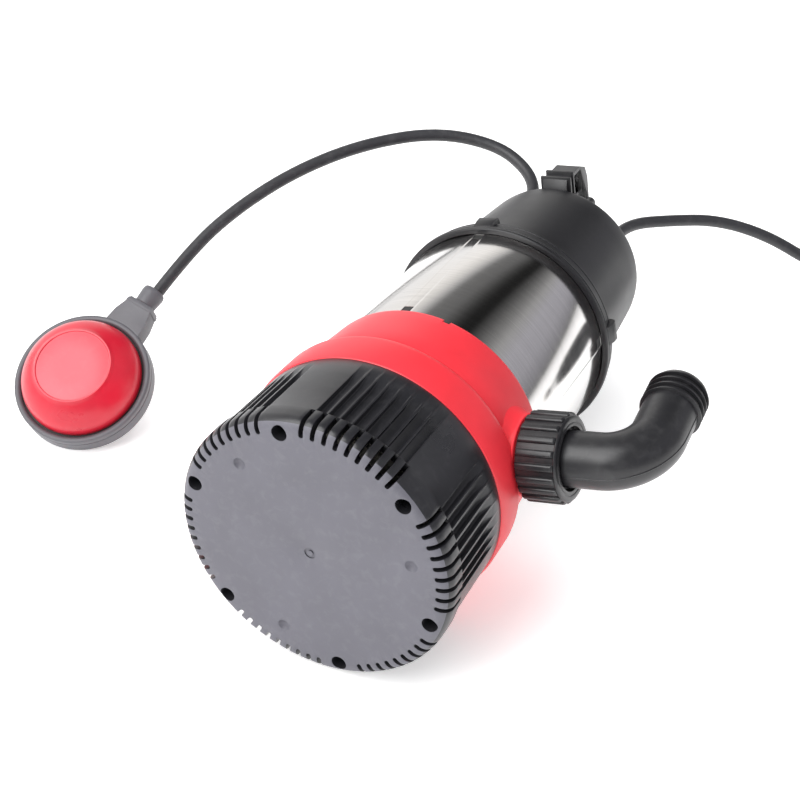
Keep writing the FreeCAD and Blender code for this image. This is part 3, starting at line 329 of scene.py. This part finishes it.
def node(tree, kind, **inputs):
    """A shader node with its inputs set or linked, each given by its name, or by i and its number."""
    made = tree.nodes.new(kind)
    for key, value in inputs.items():
        numbered = key[0] == "i" and key[1:].isdigit()
        socket = made.inputs[int(key[1:]) if numbered else key.replace("_", " ")]
        if isinstance(value, bpy.types.NodeSocket):
            tree.links.new(value, socket)
        else:
            socket.default_value = value
    return made


def math_node(tree, operation, *values):
    made = node(tree, "ShaderNodeMath", **{f"i{i}": value for i, value in enumerate(values)})
    made.operation = operation
    return made.outputs[0]


def new_group(name, inputs, outputs):
    """A node group with named inputs, each with its value, and named outputs."""
    tree = bpy.data.node_groups.new(name, "ShaderNodeTree")
    for label, kind, value in inputs:
        socket = tree.interface.new_socket(label, in_out="INPUT", socket_type=kind)
        socket.default_value = value
    for label, kind in outputs:
        tree.interface.new_socket(label, in_out="OUTPUT", socket_type=kind)
    return tree, tree.nodes.new("NodeGroupInput").outputs, tree.nodes.new("NodeGroupOutput").inputs


DUST_COLOUR = (0.42, 0.41, 0.42, 1)


def moulded_group():
    """The skin of moulded plastic or rubber: fine grain, slow waves where it shrank, and faint dust."""
    tree, given, put = new_group("moulded_skin", (
        ("Color", "NodeSocketColor", (0.05, 0.05, 0.05, 1)),
        ("Dust", "NodeSocketFloat", 0.15),
        ("Roughness", "NodeSocketFloat", 0.4),
        ("Grain Scale", "NodeSocketFloat", 1800),
        ("Grain Depth", "NodeSocketFloat", 0.2),
    ), (("Color", "NodeSocketColor"), ("Roughness", "NodeSocketFloat"), ("Height", "NodeSocketFloat")))
    where = node(tree, "ShaderNodeTexCoord").outputs["Object"]
    grain = node(tree, "ShaderNodeTexNoise", Vector=where, Scale=given["Grain Scale"], Detail=2.0,
                 Roughness=0.55)
    waves = node(tree, "ShaderNodeTexNoise", Vector=where, Scale=26.0, Detail=3.0, Roughness=0.5)
    marks = node(tree, "ShaderNodeTexNoise", Vector=where, Scale=140.0, Detail=5.0, Roughness=0.65,
                 Distortion=0.6)
    mask = node(tree, "ShaderNodeMapRange", Value=marks.outputs[0], From_Min=0.5, From_Max=0.78)
    dust = math_node(tree, "MULTIPLY", mask.outputs[0], given["Dust"])
    shade = node(tree, "ShaderNodeMapRange", Value=waves.outputs[0], From_Min=0.25, From_Max=0.75,
                 To_Min=0.9, To_Max=1.1)
    tone = node(tree, "ShaderNodeVectorMath", i0=given["Color"], i1=shade.outputs[0])
    tone.operation = "MULTIPLY"
    dusty = node(tree, "ShaderNodeMix")
    dusty.data_type = "RGBA"
    tree.links.new(dust, dusty.inputs[0])
    tree.links.new(tone.outputs[0], dusty.inputs[6])
    dusty.inputs[7].default_value = DUST_COLOUR
    tree.links.new(dusty.outputs[2], put["Color"])
    uneven = math_node(tree, "MULTIPLY_ADD", waves.outputs[0], 0.16, -0.08)
    bare = math_node(tree, "ADD", given["Roughness"], uneven)
    rough = math_node(tree, "ADD", bare, math_node(tree, "MULTIPLY", dust, 0.6))
    tree.links.new(rough, put["Roughness"])
    fine = math_node(tree, "MULTIPLY", grain.outputs[0], given["Grain Depth"])
    tree.links.new(math_node(tree, "MULTIPLY_ADD", waves.outputs[0], 0.35, fine), put["Height"])
    return tree


def brushed_group():
    """Brushed metal: fine lines round an axis along Y, with a few longer scratches."""
    tree, given, put = new_group("brushed_lines", (
        ("Color", "NodeSocketColor", (0.6, 0.6, 0.6, 1)),
        ("Roughness", "NodeSocketFloat", 0.25),
        ("Line Scale", "NodeSocketFloat", 900),
        ("Line Depth", "NodeSocketFloat", 0.5),
    ), (("Color", "NodeSocketColor"), ("Roughness", "NodeSocketFloat"), ("Height", "NodeSocketFloat")))
    where = node(tree, "ShaderNodeTexCoord").outputs["Object"]
    turned = node(tree, "ShaderNodeMapping", Vector=where, Rotation=(0.0, 0.0, 0.06),
                  Scale=(0.012, 1.0, 0.012))
    lines = node(tree, "ShaderNodeTexNoise", Vector=turned.outputs[0], Scale=given["Line Scale"],
                 Detail=4.0, Roughness=0.7)
    long_turned = node(tree, "ShaderNodeMapping", Vector=where, Rotation=(0.0, 0.0, -0.1),
                       Scale=(0.03, 1.0, 0.03))
    scratches = node(tree, "ShaderNodeTexNoise", Vector=long_turned.outputs[0], Scale=260.0,
                     Detail=2.0, Roughness=0.5)
    clouds = node(tree, "ShaderNodeTexNoise", Vector=where, Scale=18.0, Detail=3.0)
    tone = node(tree, "ShaderNodeMapRange", Value=lines.outputs[0], From_Min=0.3, From_Max=0.7,
                To_Min=0.9, To_Max=1.08)
    shaded = node(tree, "ShaderNodeVectorMath", i0=given["Color"], i1=tone.outputs[0])
    shaded.operation = "MULTIPLY"
    tree.links.new(shaded.outputs[0], put["Color"])
    lined = math_node(tree, "MULTIPLY_ADD", lines.outputs[0], 0.14, -0.07)
    cloudy = math_node(tree, "MULTIPLY_ADD", clouds.outputs[0], 0.1, -0.05)
    rough = math_node(tree, "ADD", math_node(tree, "ADD", given["Roughness"], lined), cloudy)
    tree.links.new(rough, put["Roughness"])
    fine = math_node(tree, "MULTIPLY", lines.outputs[0], given["Line Depth"])
    tree.links.new(math_node(tree, "MULTIPLY_ADD", scratches.outputs[0], 0.3, fine), put["Height"])
    return tree


def surface(name, group, group_inputs, bump, metallic=0.0):
    """A material whose colour, roughness and relief come from a shared group."""
    material = bpy.data.materials.new(name)
    material.use_nodes = True
    tree = material.node_tree
    shader = tree.nodes["Principled BSDF"]
    effect = node(tree, "ShaderNodeGroup")
    effect.node_tree = group
    for label, value in group_inputs.items():
        effect.inputs[label].default_value = value
    tree.links.new(effect.outputs["Color"], shader.inputs["Base Color"])
    tree.links.new(effect.outputs["Roughness"], shader.inputs["Roughness"])
    relief = node(tree, "ShaderNodeBump", Strength=1.0, Distance=bump * MM, Height=effect.outputs["Height"])
    tree.links.new(relief.outputs[0], shader.inputs["Normal"])
    shader.inputs["Metallic"].default_value = metallic
    return material


MOULDED = moulded_group()
BRUSHED = brushed_group()


def plastic(name, color, roughness, dust=0.1, grain=1800, depth=0.2, bump=0.06):
    return surface(name, MOULDED, {"Color": (*color, 1), "Dust": dust, "Roughness": roughness,
                                   "Grain Scale": grain, "Grain Depth": depth}, bump)


def metal(name, color, roughness, lines=900, depth=0.5, bump=0.01):
    return surface(name, BRUSHED, {"Color": (*color, 1), "Roughness": roughness, "Line Scale": lines,
                                   "Line Depth": depth}, bump, metallic=1.0)


black_plastic = plastic("black_plastic", (0.017, 0.017, 0.02), 0.3, dust=0.03)
# a lighter grey copy of the black plastic: painted sheen, the bright floor's reflection on the strainer's
# disc face
disc_face_painted_sheen = plastic("disc_face_painted_sheen", (0.112, 0.11, 0.132), 0.5, dust=0.09, depth=0.3)
cap_plastic = plastic("cap_plastic", (0.011, 0.011, 0.013), 0.4, dust=0.012)
handle_plastic = plastic("handle_plastic", (0.018, 0.018, 0.02), 0.4, dust=0.03)
elbow_plastic = plastic("elbow_plastic", (0.016, 0.016, 0.018), 0.33, dust=0.04, depth=0.4, bump=0.09)
red_plastic = plastic("red_plastic", (0.78, 0.03, 0.045), 0.42, dust=0.0, bump=0.04)
float_red = plastic("float_red", (0.56, 0.012, 0.032), 0.3, dust=0.02, bump=0.05)
# a paler salmon copy of the float's red: painted sheen for the float cover's flat top
float_top_painted_sheen = plastic("float_top_painted_sheen", (0.74, 0.09, 0.115), 0.4, dust=0.05, depth=0.3, bump=0.12)
float_grey = plastic("float_grey", (0.1, 0.1, 0.112), 0.44, dust=0.04)
cord_rubber = plastic("cord_rubber", (0.03, 0.03, 0.034), 0.46, dust=0.06, grain=1200, depth=0.4, bump=0.08)
seal_rubber = plastic("seal_rubber", (0.02, 0.02, 0.02), 0.6, dust=0.03)
inner_plastic = plastic("inner_plastic", (0.55, 0.53, 0.47), 0.45, dust=0.05)
seal_carbon = plastic("seal_carbon", (0.05, 0.05, 0.055), 0.3, dust=0.0)
winding_copper = metal("winding_copper", (0.6, 0.24, 0.09), 0.35, lines=1600, depth=1.0, bump=0.2)
jacket_steel = metal("jacket_steel", (0.7, 0.685, 0.675), 0.12, lines=1100, bump=0.003)
screw_steel = metal("screw_steel", (0.55, 0.55, 0.56), 0.3)
bearing_steel = metal("bearing_steel", (0.72, 0.72, 0.74), 0.12, depth=0.2)
core_iron = metal("core_iron", (0.22, 0.21, 0.2), 0.5, lines=2600, depth=1.0, bump=0.1)
cast_aluminium = metal("cast_aluminium", (0.62, 0.62, 0.64), 0.4, lines=300)
pin_brass = metal("pin_brass", (0.78, 0.62, 0.34), 0.25)

OWN_MATERIALS = {
    "black_plastic": black_plastic, "red_plastic": red_plastic, "jacket_steel": jacket_steel,
    "float_grey": float_grey, "float_red": float_red, "cord_rubber": cord_rubber, "seal_rubber": seal_rubber,
    "screw_steel": screw_steel, "shaft_steel": screw_steel, "bearing_steel": bearing_steel,
    "core_iron": core_iron, "winding_copper": winding_copper, "bracket_aluminium": cast_aluminium,
    "impeller_plastic": inner_plastic, "seal_carbon": seal_carbon, "pin_brass": pin_brass,
}

for part in frame["record"]["subparts"]:
    for holder in frame["nodes"][part["node"]].material_slots:
        holder.material = OWN_MATERIALS[part["material_slot"]]

for holder in frame["nodes"]["latch_tongues"].material_slots:
    holder.material = seal_rubber


# ---------------------------------------------------------------- strainer base

SCREW_CIRCLE = 85
SCREW_ANGLES = [30 + 60 * k for k in range(6)]
SLOT_ANGLES = [screw + 10 + 5 * k for screw in SCREW_ANGLES for k in range(9)]
GROOVE_ANGLES = [screw + 12.5 + 5 * k for screw in SCREW_ANGLES for k in range(8)]
DIMPLE_RADIUS = 4.875
DIMPLE_CENTRE = (70, 0, -2.475)


def plate(name, outline, low, high):
    """A flat piece: a closed outline across the axis, filled and given its thickness."""
    bpy.ops.object.select_all(action="DESELECT")
    bpy.ops.mesh.primitive_plane_add(size=MM)
    piece = bpy.context.object
    piece.name = piece.data.name = name
    edit(piece, "SELECT")
    bpy.ops.mesh.merge(type="CENTER")
    points = [Vector((across * MM, up * MM, low * MM)) for across, up in outline]
    bpy.ops.transform.translate(value=points[0])
    for here, there in zip(points, points[1:]):
        bpy.ops.mesh.extrude_region_move(TRANSFORM_OT_translate={"value": there - here})
    bpy.ops.mesh.select_all(action="SELECT")
    bpy.ops.mesh.edge_face_add()
    bpy.ops.mesh.extrude_region_move(TRANSFORM_OT_translate={"value": (0, 0, (high - low) * MM)})
    bpy.ops.mesh.select_all(action="SELECT")
    bpy.ops.mesh.normals_make_consistent(inside=False)
    done()
    return piece


def slot_cutter():
    cutter = slab("slot", (84.4, -1.55, -1), (98, 1.55, 16.6))
    pick(cutter, "EDGE", lambda a, b: max(a.x, b.x) < 85 * MM and abs(a.z - b.z) > MM)
    bpy.ops.mesh.bevel(offset=1.5 * MM, segments=5, affect="EDGES")
    done()
    return round_the_axis(cutter, SLOT_ANGLES)


def groove_cutter():
    cutter = slab("groove", (88.6, -3.3, 18.6), (98, 3.3, 57))
    pick(cutter, "FACE", lambda middle, normal: normal.z > 0.9)
    bpy.ops.mesh.extrude_region_move(TRANSFORM_OT_translate={"value": (0, 0, 13 * MM)})
    pick(cutter, "EDGE", lambda a, b: max(a.x, b.x) < 89 * MM and min(a.z, b.z) > 69 * MM)
    bpy.ops.transform.translate(value=(3.2 * MM, 0, 0))
    pick(cutter, "EDGE", lambda a, b: max(a.x, b.x) < 92.5 * MM and abs(a.z - b.z) > 10 * MM)
    bpy.ops.mesh.bevel(offset=1.2 * MM, segments=3, affect="EDGES")
    done()
    return round_the_axis(cutter, GROOVE_ANGLES)


def strainer_shell():
    shell = spun("strainer_shell", [
        (0, 0), (30, 0), (60, 0), (78, 0), *arc(86.4, 8, 8, -90, 0, 8), (94.4, 12), (94.4, 16.6),
        (92.8, 17.5), (92.4, 40), (91.9, 62), (91.5, 80.5), (88, 80.5), (88, 6), (0, 6)])
    wells = rod("wells", 6.4, 5, 80.4, across=SCREW_CIRCLE)
    combined(shell, round_the_axis(wells, SCREW_ANGLES), "UNION")
    socket = spun("socket", [(0, -1), (5.2, -1), (5.2, 60), (2.75, 60), (2.75, 82), (0, 82)], steps=32)
    edit(socket, "SELECT")
    bpy.ops.transform.translate(value=(SCREW_CIRCLE * MM, 0, 0))
    done()
    bpy.ops.object.select_all(action="DESELECT")
    bpy.ops.mesh.primitive_uv_sphere_add(segments=32, ring_count=24, radius=DIMPLE_RADIUS * MM,
                                         location=[place * MM for place in DIMPLE_CENTRE])
    dimple = bpy.context.object
    dimple.name = "dimple"
    bpy.ops.object.transform_apply(location=True, rotation=False, scale=False)
    gate = spun("gate", ringed([(1.9, -1), (3.9, -1), (3.9, 0.7), (1.9, 0.7)]), steps=40)
    cutters = joined("cutters", [
        slot_cutter(), groove_cutter(), round_the_axis(socket, SCREW_ANGLES),
        round_the_axis(dimple, (0, 120, 240)), gate])
    combined(shell, cutters)
    return settle(eased(shell, 0.45), PUMP)


base = shown(strainer_shell(), black_plastic, "root", "black_plastic", "strainer_base")
# the disc's downward faces get the lighter grey: painted sheen on the same black plastic as the rest
faced(base, disc_face_painted_sheen, PUMP,
      lambda middle, normal: normal.z < -0.3 and middle.z < 3.2 * MM and middle.xy.length < 92 * MM)


# ---------------------------------------------------------------- pump housing, jacket and flange ring


PORT_RADIUS = 16
NOTCH_ANGLES = (-67.3, 22.7, 112.7, 202.7)


def housing():
    shell = spun("housing", ringed([
        (91.5, 80.5), (92.1, 81), (93, 84.5), (92.6, 106), (92.2, 108.5), (91.2, 110.6), (89.6, 112),
        (88, 113.4), (87, 115), (86.7, 116.6), (87, 117.6), (87.3, 119), (86.6, 130), (85.9, 140),
        (85.1, 150), (84.4, 159.5), (83.9, 161.6), (83.2, 162.5), (74, 162.5), (74, 80.5)]), steps=160)
    boss = spun("boss", [
        (0, 60), (35, 60), (35, 76), (32.5, 79), (30.4, 82), (28.5, 84.8), (27.2, 87), (26.6, 88.4),
        (26.3, 89.4), (26.3, 89.9), (27.3, 90.1), (27.3, 91.5), (26.8, 92), (24, 92), (24, 112),
        (0, 112)], steps=72)
    combined(shell, settle(boss, PUMP.inverted() @ OUTLET), "UNION")
    inside = spun("inside", [
        (0, 60), (76, 60), (76, 150), (82.1, 150), (82.1, 180), (0, 180)], steps=160)
    combined(shell, inside)
    combined(shell, settle(rod("port", PORT_RADIUS, 50, 114), PUMP.inverted() @ OUTLET))
    notch = slab("notch", (80, -2.6, 158.2), (90, 2.6, 166))
    combined(shell, round_the_axis(notch, NOTCH_ANGLES))
    return settle(eased(shell, 0.5), PUMP)


def jacket():
    shell = spun("jacket", ringed([(82, 150.2), (82, 294), (81.2, 294), (81.2, 150.2)]), steps=192)
    windows = joined("windows", [
        round_the_axis(slab("low", (78, -3.5, 164.5), (86, 3.5, 171.5)), QUARTERS),
        round_the_axis(slab("high", (78, -3.5, 279.8), (86, 3.5, 286.8)), QUARTERS)])
    combined(shell, windows)
    return settle(eased(shell, 0.12), PUMP)


def flange():
    ring = spun("flange", ringed([
        (82.1, 288.8), (85.4, 288.8), (86.2, 289.6), (86.2, 291.6), (85.7, 291.8), (85.7, 292.3),
        (86.2, 292.5), (86.2, 293.4), (85.6, 294.6), (84.4, 295.4), (84.4, 300.6), (84, 300.8),
        (84, 301.4), (84.4, 301.6), (84.2, 303.2), (83.4, 304.2), (76.1, 304.2), (76.1, 294.2),
        (82.1, 294.2)]), steps=160)
    latch = plate("latch", [(80.4, 292), (85.6, 292), (86.6, 295), (87.6, 299), (87.8, 304), (86.6, 306.4),
                            (83.6, 307.6), (80.4, 307.6)], -7, 7)
    edit(latch, "SELECT")
    bpy.ops.transform.rotate(value=-math.pi / 2, orient_axis="X", center_override=(0, 0, 0))
    done()
    latch.data.update()
    combined(ring, round_the_axis(latch, QUARTERS), "UNION")
    return settle(eased(ring, 0.35), PUMP)


shown(housing(), red_plastic, "root", "red_plastic", "pump_housing")
shown(jacket(), jacket_steel, "root", "jacket_steel", "steel_jacket")
shown(flange(), cap_plastic, "root", "black_plastic", "jacket_flange")


# ---------------------------------------------------------------- cap, glands and handle

GLANDS = {"float_gland": (-26, -44), "mains_gland": (25, 12)}


def cap():
    shell = spun("cap", [
        (72, 292.2), (76, 292.2), (76, 299.6), (75.6, 300.6), (75, 301.2), (74.4, 308), (73, 330),
        (71.6, 351), (70.2, 372), (68.8, 392), (67.9, 403), (67.4, 405.4), *arc(62.2, 406.5, 5, 12, 90, 6),
        (40, 411.5), (0, 411.5), (0, 407.5), (58, 407.5), (63, 402), (71, 301.2), (72, 292.2)], steps=160)
    combined(shell, rod("lug", 4.5, 408, 423.5, across=29, up=-49), "UNION")
    holes = [rod(name + "_hole", 8.1, 404, 430, across=spot[0], up=spot[1])
             for name, spot in GLANDS.items()]
    combined(shell, joined("holes", holes))
    return settle(eased(shell, 0.4), PUMP)


def gland(name):
    nut = rod(name + "_nut", 10.4, 411.5, 419, sides=6)
    eased(nut, 0.5)
    dome = spun(name + "_dome", [
        (0, 402), (8, 402), (8, 412), (8.9, 413), (8.9, 426), (8.7, 428), (8, 430), (7, 431.4),
        (6.4, 432), (5.1, 432), (5.1, 424), (0, 424)], steps=48)
    combined(dome, nut, "UNION")
    edit(dome, "SELECT")
    bpy.ops.transform.translate(value=(GLANDS[name][0] * MM, GLANDS[name][1] * MM, 0))
    done()
    dome.name = name + "_body"
    return settle(smoothed(dome), PUMP)


def handle():
    """The arch from the frame, merged, with its edges rounded."""
    source = frame["nodes"]["carry_handle"]
    piece = source.copy()
    piece.data = source.data.copy()
    piece.parent = None
    piece.name = piece.data.name = "handle_arch"
    bpy.context.scene.collection.objects.link(piece)
    edit(piece, "SELECT")
    bpy.ops.mesh.remove_doubles(threshold=MERGE_WITHIN * MM)
    bpy.ops.mesh.dissolve_limited(angle_limit=math.radians(1))
    bpy.ops.mesh.normals_make_consistent(inside=False)
    done()
    return eased(piece, 0.5)


shown(cap(), cap_plastic, "root", "black_plastic", "pump_cap")
for gland_name in GLANDS:
    shown(gland(gland_name), cap_plastic, "root", "black_plastic", gland_name)
shown(handle(), handle_plastic, "root", "black_plastic", "carry_handle")


# ---------------------------------------------------------------- union nut and hose elbow


NUT_RIBS = 20
ELBOW_LEG = 140.5
ELBOW_BEND = 29.2
ELBOW_BORE = 15.2
SEAM_RADIUS = 0.55
TAIL_LENGTH = 46
BARBS = 4
BARB_PITCH = 5.6


def union_nut():
    shell = spun("union_ring", ringed([
        (24.1, 93.4), (27, 93.4), (27.6, 94.4), (27.6, 119.6), (28, 120.2), (27.6, 121.1), (26.6, 121.5),
        (24.2, 121.5), (23.8, 121.1), (23.2, 121.1), (22.8, 121.5), (21, 121.5), (21, 117.8),
        (24.1, 117.8)]), steps=120)
    rib = slab("rib", (26.4, -2.3, 94), (29.7, 2.3, 119.8))
    pick(rib, "EDGE", lambda a, b: min(a.x, b.x) > 29 * MM)
    bpy.ops.mesh.bevel(offset=1.6 * MM, segments=5, affect="EDGES")
    done()
    combined(shell, round_the_axis(rib, [360 / NUT_RIBS * k for k in range(NUT_RIBS)]), "UNION")
    return settle(eased(shell, 0.3), OUTLET)


def bent_pipe(name, start, radius, steps_along, tail_steps, drop=0):
    """A bar along x, through a quarter turn, then up; each step is a move and a new radius."""
    leg, bend = ELBOW_LEG * MM, ELBOW_BEND * MM
    bpy.ops.object.select_all(action="DESELECT")
    bpy.ops.mesh.primitive_circle_add(vertices=64, radius=radius * MM, fill_type="NGON",
                                      location=(start * MM, 0, -drop * MM), rotation=(0, math.pi / 2, 0))
    piece = bpy.context.object
    piece.name = piece.data.name = name
    bpy.ops.object.transform_apply(location=True, rotation=True, scale=True)
    edit(piece, "SELECT")
    along, now = start, radius
    for place, new in steps_along:
        bpy.ops.mesh.extrude_region_move(TRANSFORM_OT_translate={"value": ((place - along) * MM, 0, 0)})
        bpy.ops.transform.resize(value=(new / now,) * 3, center_override=(place * MM, 0, 0))
        along, now = place, new
    bpy.ops.mesh.spin(steps=20, angle=math.pi / 2, center=(leg, 0, bend), axis=(0, 1, 0))
    up = 0
    for place, new in tail_steps:
        bpy.ops.mesh.extrude_region_move(TRANSFORM_OT_translate={"value": (0, 0, (place - up) * MM)})
        bpy.ops.transform.resize(value=(new / now,) * 3, center_override=(leg + bend, 0, bend + place * MM))
        up, now = place, new
    bpy.ops.mesh.select_all(action="SELECT")
    bpy.ops.mesh.remove_doubles(threshold=PIPE_MERGE_WITHIN * MM)
    bpy.ops.mesh.normals_make_consistent(inside=False)
    done()
    return piece


def elbow():
    barbs = [(23.2, 18.4)]
    for k in range(BARBS):
        low = TAIL_LENGTH - (BARBS - k) * BARB_PITCH
        barbs += [(low + 0.1, 20.6), (low + 0.7, 20.6), (low + 5.5, 18.2)]
    barbs.append((TAIL_LENGTH, 18.0))
    collar_and_leg = [(117.6, 23.4), (117.62, 18.6), (120, 18.4), (130, 18.4), (ELBOW_LEG, 18.4)]
    outside = bent_pipe("elbow", 113.7, 23.4, collar_and_leg, barbs)
    inside = bent_pipe("bore", 112, ELBOW_BORE, [(ELBOW_LEG, ELBOW_BORE)], [(50, ELBOW_BORE)])
    seam = bent_pipe("seam", 121, SEAM_RADIUS, [(ELBOW_LEG, SEAM_RADIUS)], [(22, SEAM_RADIUS)], drop=18.25)
    combined(outside, seam, "UNION")
    combined(outside, inside)
    return settle(eased(outside, 0.3), ELBOW)


shown(union_nut(), elbow_plastic, "nut", "black_plastic", "union_nut")
shown(elbow(), elbow_plastic, "elbow", "black_plastic", "hose_elbow")


# ---------------------------------------------------------------- float switch


def float_shell():
    shell = spun("float_shell", ringed([
        (0.01, -32), (28, -32), (30, -31.6), (40, -26.2), (50.6, -20.2), (52.6, -18.8),
        *arc(52.6, -15.6, 1.4, -60, 0, 3), (54, -6.2), (53.6, -5.9), (53.6, -5.3), (54, -5), (54, -2),
        *arc(52.4, -1.6, 1.6, 0, 90, 4), (50.8, 0), (49.8, -0.5), (49, -1.6), (49, -5.4), (44, -5.4),
        (44, -15), (28, -28), (0.01, -28)]), steps=128)
    return settle(smoothed(shell, 35), FLOAT)


def float_dome():
    dome = spun("float_dome", [
        (0, 23.4), (14, 23.5), (26.6, 23.6), (27.6, 23.2), (28.6, 23.2), (29.2, 23.9), (29.8, 24),
        (30.3, 23.7), (30.6, 23.2), (33.4, 21.2), (36.6, 18.8), (39.6, 16.1), (42.2, 13.2), (44.4, 10.1),
        (46, 6.8), (46.9, 3.4), (47.1, 0.6), (47.1, -3), (44.8, -3), (44, 1), (43.2, 5), (38, 12.4),
        (29.5, 20.8), (0, 20.8)], steps=128)
    return settle(smoothed(dome, 24), FLOAT)


def float_tongue():
    shank = [(50.6, 16), (62, 15), (77, 10.5)]
    band = [(72.6, 12.5), (75.8, 11.5)]
    piece = plate("float_tongue", shank + [(x, -y) for x, y in reversed(shank)], -16.3, -0.7)
    strap = plate("strap", band + [(x, -y) for x, y in reversed(band)], -16.6, -0.4)
    combined(piece, strap, "UNION")
    return settle(eased(piece, 1.1, segments=3), FLOAT)


def float_collar():
    collar = spun("float_nut", [
        (0, 77), (8, 77), (8.6, 77.6), (9.4, 88), (9.3, 89.6), (8.6, 91.4), (7.6, 92), (5.1, 92), (5.1, 86),
        (0, 86)], steps=48)
    return settle(smoothed(collar), NECK)


shown(float_shell(), float_grey, "root", "float_grey", "float_body")
dome = shown(float_dome(), float_red, "root", "float_red", "float_cover")
# the cover's upward flat top gets the paler salmon: painted sheen on the same red plastic as the sides
faced(dome, float_top_painted_sheen, FLOAT, lambda middle, normal: normal.z > 0.7 and middle.z > 23 * MM)
shown(float_tongue(), float_grey, "root", "float_grey", "float_neck")
shown(float_collar(), float_grey, "root", "float_grey", "float_collar")


# ---------------------------------------------------------------- plug and cords


PLUG_GRIPS = 24
PLUG_PLACE = (414, 566, FLOOR + 19)


def plug():
    body = spun("plug_grip", [
        (0, 0), (6.6, 0), (7, 0.6), (7.4, 6), (8.2, 12), (11, 15.2), (15, 18), (17.8, 21), (19, 24),
        (19, 36.4), (18.6, 38.4), (17.6, 39.5), (0, 39.5)], steps=64)
    grips = slab("grips", (17.4, -0.8, 25), (20, 0.8, 36))
    combined(body, round_the_axis(grips, [360 / PLUG_GRIPS * k for k in range(PLUG_GRIPS)]))
    place = Matrix.Translation(Vector(PLUG_PLACE) * MM) @ Matrix.Rotation(math.pi / 2, 4, "X")
    return settle(eased(body, 0.3), place)


shown(plug(), cord_rubber, "root", "cord_rubber", "plug_body")

lay_cord("float_lead", FLOAT_ROUTE, ["float_cord"], exit=(-34.6 * MM, 432 * MM, 37.6 * MM), length=0.41,
         far_end="fitting", lay="loose",
         with_pieces=["float_shell", "float_dome", "float_tongue", "float_nut"])
lay_cord("mains_lead", (*MAINS_ROUTE, *coil_points(COIL_START, COIL_END), *PLUG_ROUTE),
         ["mains_cord", "mains_coil", "plug_cord"],
         exit=(27 * MM, 432 * MM, -6.5 * MM), length=10, far_end="plug", lay="coiled",
         with_pieces=["plug_grip", "plug_pins"])


# ---------------------------------------------------------------- floor and lights


FLOOR_SIZE = 30
FLOOR_WHITE = (0.93, 0.93, 0.93, 1)
FLOOR_GLOW = 0.45
LAMP_AIM = Vector((0, 0.25, 0))


def floor():
    bpy.ops.object.select_all(action="DESELECT")
    bpy.ops.mesh.primitive_plane_add(size=FLOOR_SIZE, location=(0, 0, FLOOR * MM))
    piece = bpy.context.object
    piece.name = "floor"
    material = bpy.data.materials.new("floor")
    material.use_nodes = True
    shader = material.node_tree.nodes["Principled BSDF"]
    shader.inputs["Base Color"].default_value = FLOOR_WHITE
    shader.inputs["Roughness"].default_value = 0.9
    shader.inputs["Emission Color"].default_value = (1, 1, 1, 1)
    shader.inputs["Emission Strength"].default_value = FLOOR_GLOW
    piece.data.materials.append(material)


# direction round the pump's axis in degrees, brightness and tint
SKY = (
    (0, 0.2, "plain"), (8, 0.33, "cool"), (20, 0.45, "cool"), (38, 0.5, "cool"), (50, 0.42, "plain"),
    (58, 0.26, "plain"), (68, 0.12, "plain"), (78, 0.015, "plain"), (86, 0.02, "plain"), (92, 0.05, "plain"),
    (104, 0.17, "plain"), (118, 0.2, "plain"), (124, 0.55, "plain"), (130, 0.85, "cream"),
    (142, 1.15, "cream"), (172, 1.15, "plain"), (176, 0.8, "plain"), (179, 1.0, "plain"),
    (185, 1.25, "plain"), (332, 1.1, "plain"), (344, 0.6, "plain"), (348, 0.1, "plain"),
    (356, 0.1, "plain"), (360, 0.2, "plain"),
)
TINTS = {"plain": (1, 1, 1), "cool": (0.96, 0.95, 1.03), "cream": (1.02, 1, 0.97)}


def sky():
    """Soft boxes and dark gaps round the object, by direction round the pump's axis."""
    world = bpy.data.worlds.new("studio")
    bpy.context.scene.world = world
    world.use_nodes = True
    tree = world.node_tree
    where = node(tree, "ShaderNodeTexCoord").outputs["Generated"]
    parts = node(tree, "ShaderNodeSeparateXYZ", i0=where)
    around = math_node(tree, "ARCTAN2", parts.outputs[2], parts.outputs[0])
    turns = math_node(tree, "DIVIDE", around, math.tau)
    share = math_node(tree, "FRACT", math_node(tree, "ADD", turns, 1.0))
    ramp = node(tree, "ShaderNodeValToRGB", i0=share)
    bands = ramp.color_ramp
    while len(bands.elements) > 1:
        bands.elements.remove(bands.elements[-1])
    for place, (angle, level, tint) in enumerate(SKY):
        element = bands.elements[0] if place == 0 else bands.elements.new(angle / 360)
        element.position = angle / 360
        element.color = (*(level * part for part in TINTS[tint]), 1)
    tree.links.new(ramp.outputs[0], tree.nodes["Background"].inputs[0])


def lamp(name, place, size, power, mirrored):
    data = bpy.data.lights.new(name, "AREA")
    data.shape = "SQUARE"
    data.size = size
    data.energy = power
    light = bpy.data.objects.new(name, data)
    bpy.context.scene.collection.objects.link(light)
    light.location = place
    light.rotation_euler = (LAMP_AIM - Vector(place)).to_track_quat("-Z", "Y").to_euler()
    light.visible_glossy = mirrored
    light.visible_camera = False


floor()
sky()
lamp("key", (-1.0, -1.2, 2.2), 2.0, 60, True)
lamp("strip", (-0.5, -2.2, 1.7), 1.3, 22, True)
lamp("top", (0.3, 0.8, 2.6), 2.5, 50, False)
bpy.context.scene.view_settings.view_transform = "Standard"
bpy.context.scene.view_settings.exposure = 0
